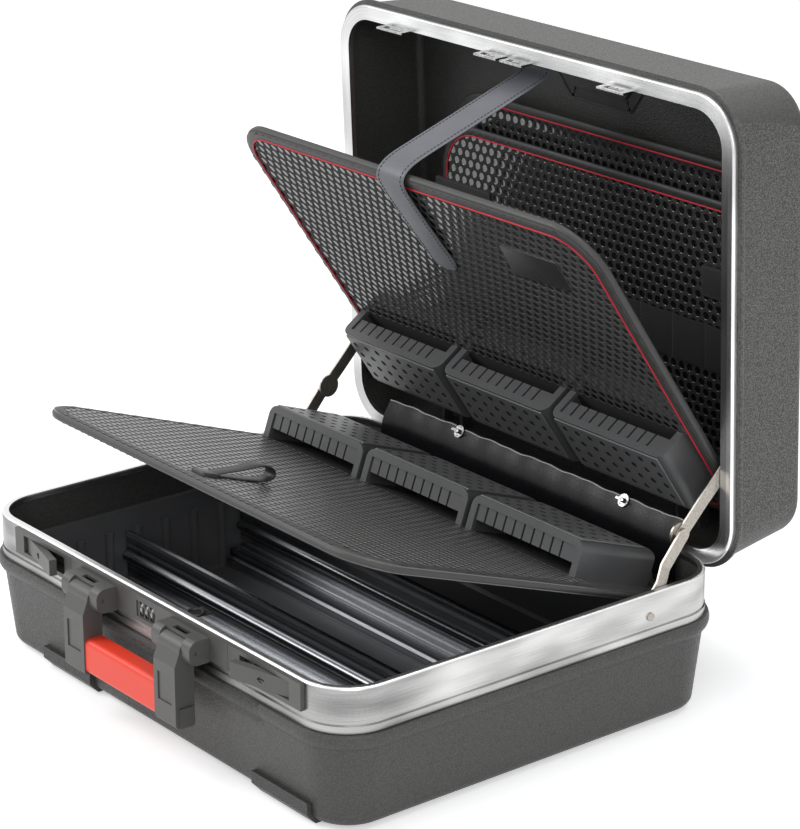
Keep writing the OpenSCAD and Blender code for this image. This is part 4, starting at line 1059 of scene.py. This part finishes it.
def pocket_skin(name, place, body, x, y0, height, columns, rows):
    """Perforated plate on top of a pocket, with a rim down to it."""
    mesh = grow(cell_tree(()), name, Cell=hole, Pitch=HOLE_X, Row=HOLE_Y, Shift=0.0, Across=columns, Rows=rows,
                MiddleY=0.0, HalfX=UNBOUNDED, HalfY=UNBOUNDED, Corner=1.0, Height=0.0, Finish=PERFORATED.mat)
    half_x, half_y = columns * HOLE_X / 2, rows * HOLE_Y / 2
    at = place @ Matrix.Translation((x, y0 + half_y, BOARD_T / 2 + height + SKIN_T))
    add_piece(name + "_skin", mesh, at, PERFORATED, body, sharp=30)
    path = rounded_path(box_outline(-half_x, half_x, -half_y, half_y), 0, closed=True)
    rim = [(0, 0), (-1.4, 0), (-2.2, -0.4), (-2.4, -SKIN_T - 0.3), (0, -SKIN_T - 0.3)]
    add_piece(name + "_skin_rim", loft(name, edge_rings(path, rim), True), at, PERFORATED, body)


PLATE_TONE, HOLE_SHADE_TONE = (0.125, 0.126, 0.128), (0.004, 0.004, 0.004)
PERFORATED = smooth_plastic("perforated_plastic", PLATE_TONE, 0.38)
# painted shade: the holes are painted near black down from their rims
PERFORATED.set("Base Color", PERFORATED.mix(PERFORATED.attribute("pit").ramp(0.0, 0.2), PLATE_TONE, HOLE_SHADE_TONE))
POCKET_PITCH, POCKET_Y, LOWER_ROW_X = 137.0, -103.0, -8
LOWER_POCKET_H, UPPER_POCKET_H = 30.0, 29.0
for i in (-1, 0, 1):
    pocket_skin("lower_pocket_%d" % (i + 2), AT_LOWER, "lower_board", i * POCKET_PITCH + LOWER_ROW_X, POCKET_Y,
                LOWER_POCKET_H, 8, 5)
    pocket_skin("upper_pocket_%d" % (i + 2), AT_UPPER, "upper_board", i * POCKET_PITCH, POCKET_Y,
                UPPER_POCKET_H, 8, 4)
bpy.data.objects.remove(hole)

# ---- number wheels ----
DIAL_X, DIAL_Y, DIAL_Z, DIAL_R, DIGITS = (-2.5, 4.5, 11.5), 2.3, -13.0, 6, 10
FLAT = DIAL_R * math.cos(math.pi / DIGITS)    # from the axis to the flat that a digit is on


def digit_mesh(n):
    curve = bpy.data.curves.new("digit", "FONT")
    curve.body = str(n)
    curve.size, curve.extrude = 4.2, 0.06
    curve.align_x, curve.align_y = "CENTER", "CENTER"
    o = bpy.data.objects.new("digit", curve)
    scene.collection.objects.link(o)
    view = bpy.context.evaluated_depsgraph_get()
    mesh = bpy.data.meshes.new_from_object(o.evaluated_get(view), depsgraph=view)
    bpy.data.objects.remove(o)
    return mesh


upright = Matrix.Rotation(math.pi / 2, 4, "X")
for k, x in enumerate(DIAL_X):
    bm = bmesh.new()
    for n in range(DIGITS):
        mesh = digit_mesh(n)
        turn = Matrix.Rotation(math.radians(360 / DIGITS * n), 4, "X")
        mesh.transform(Matrix.Translation((x, DIAL_Y, DIAL_Z)) @ turn
                       @ Matrix.Translation((0, -FLAT - 0.05, 0)) @ upright)
        bm.from_mesh(mesh)
    joined = bpy.data.meshes.new("digits")
    bm.to_mesh(joined)
    bm.free()
    add_piece("dial_%d_digits" % (k + 1), joined, AT_BASE, DIGIT, "dial_%d" % (k + 1))
for o in (STITCH, FINE_STITCH):
    bpy.data.objects.remove(o)
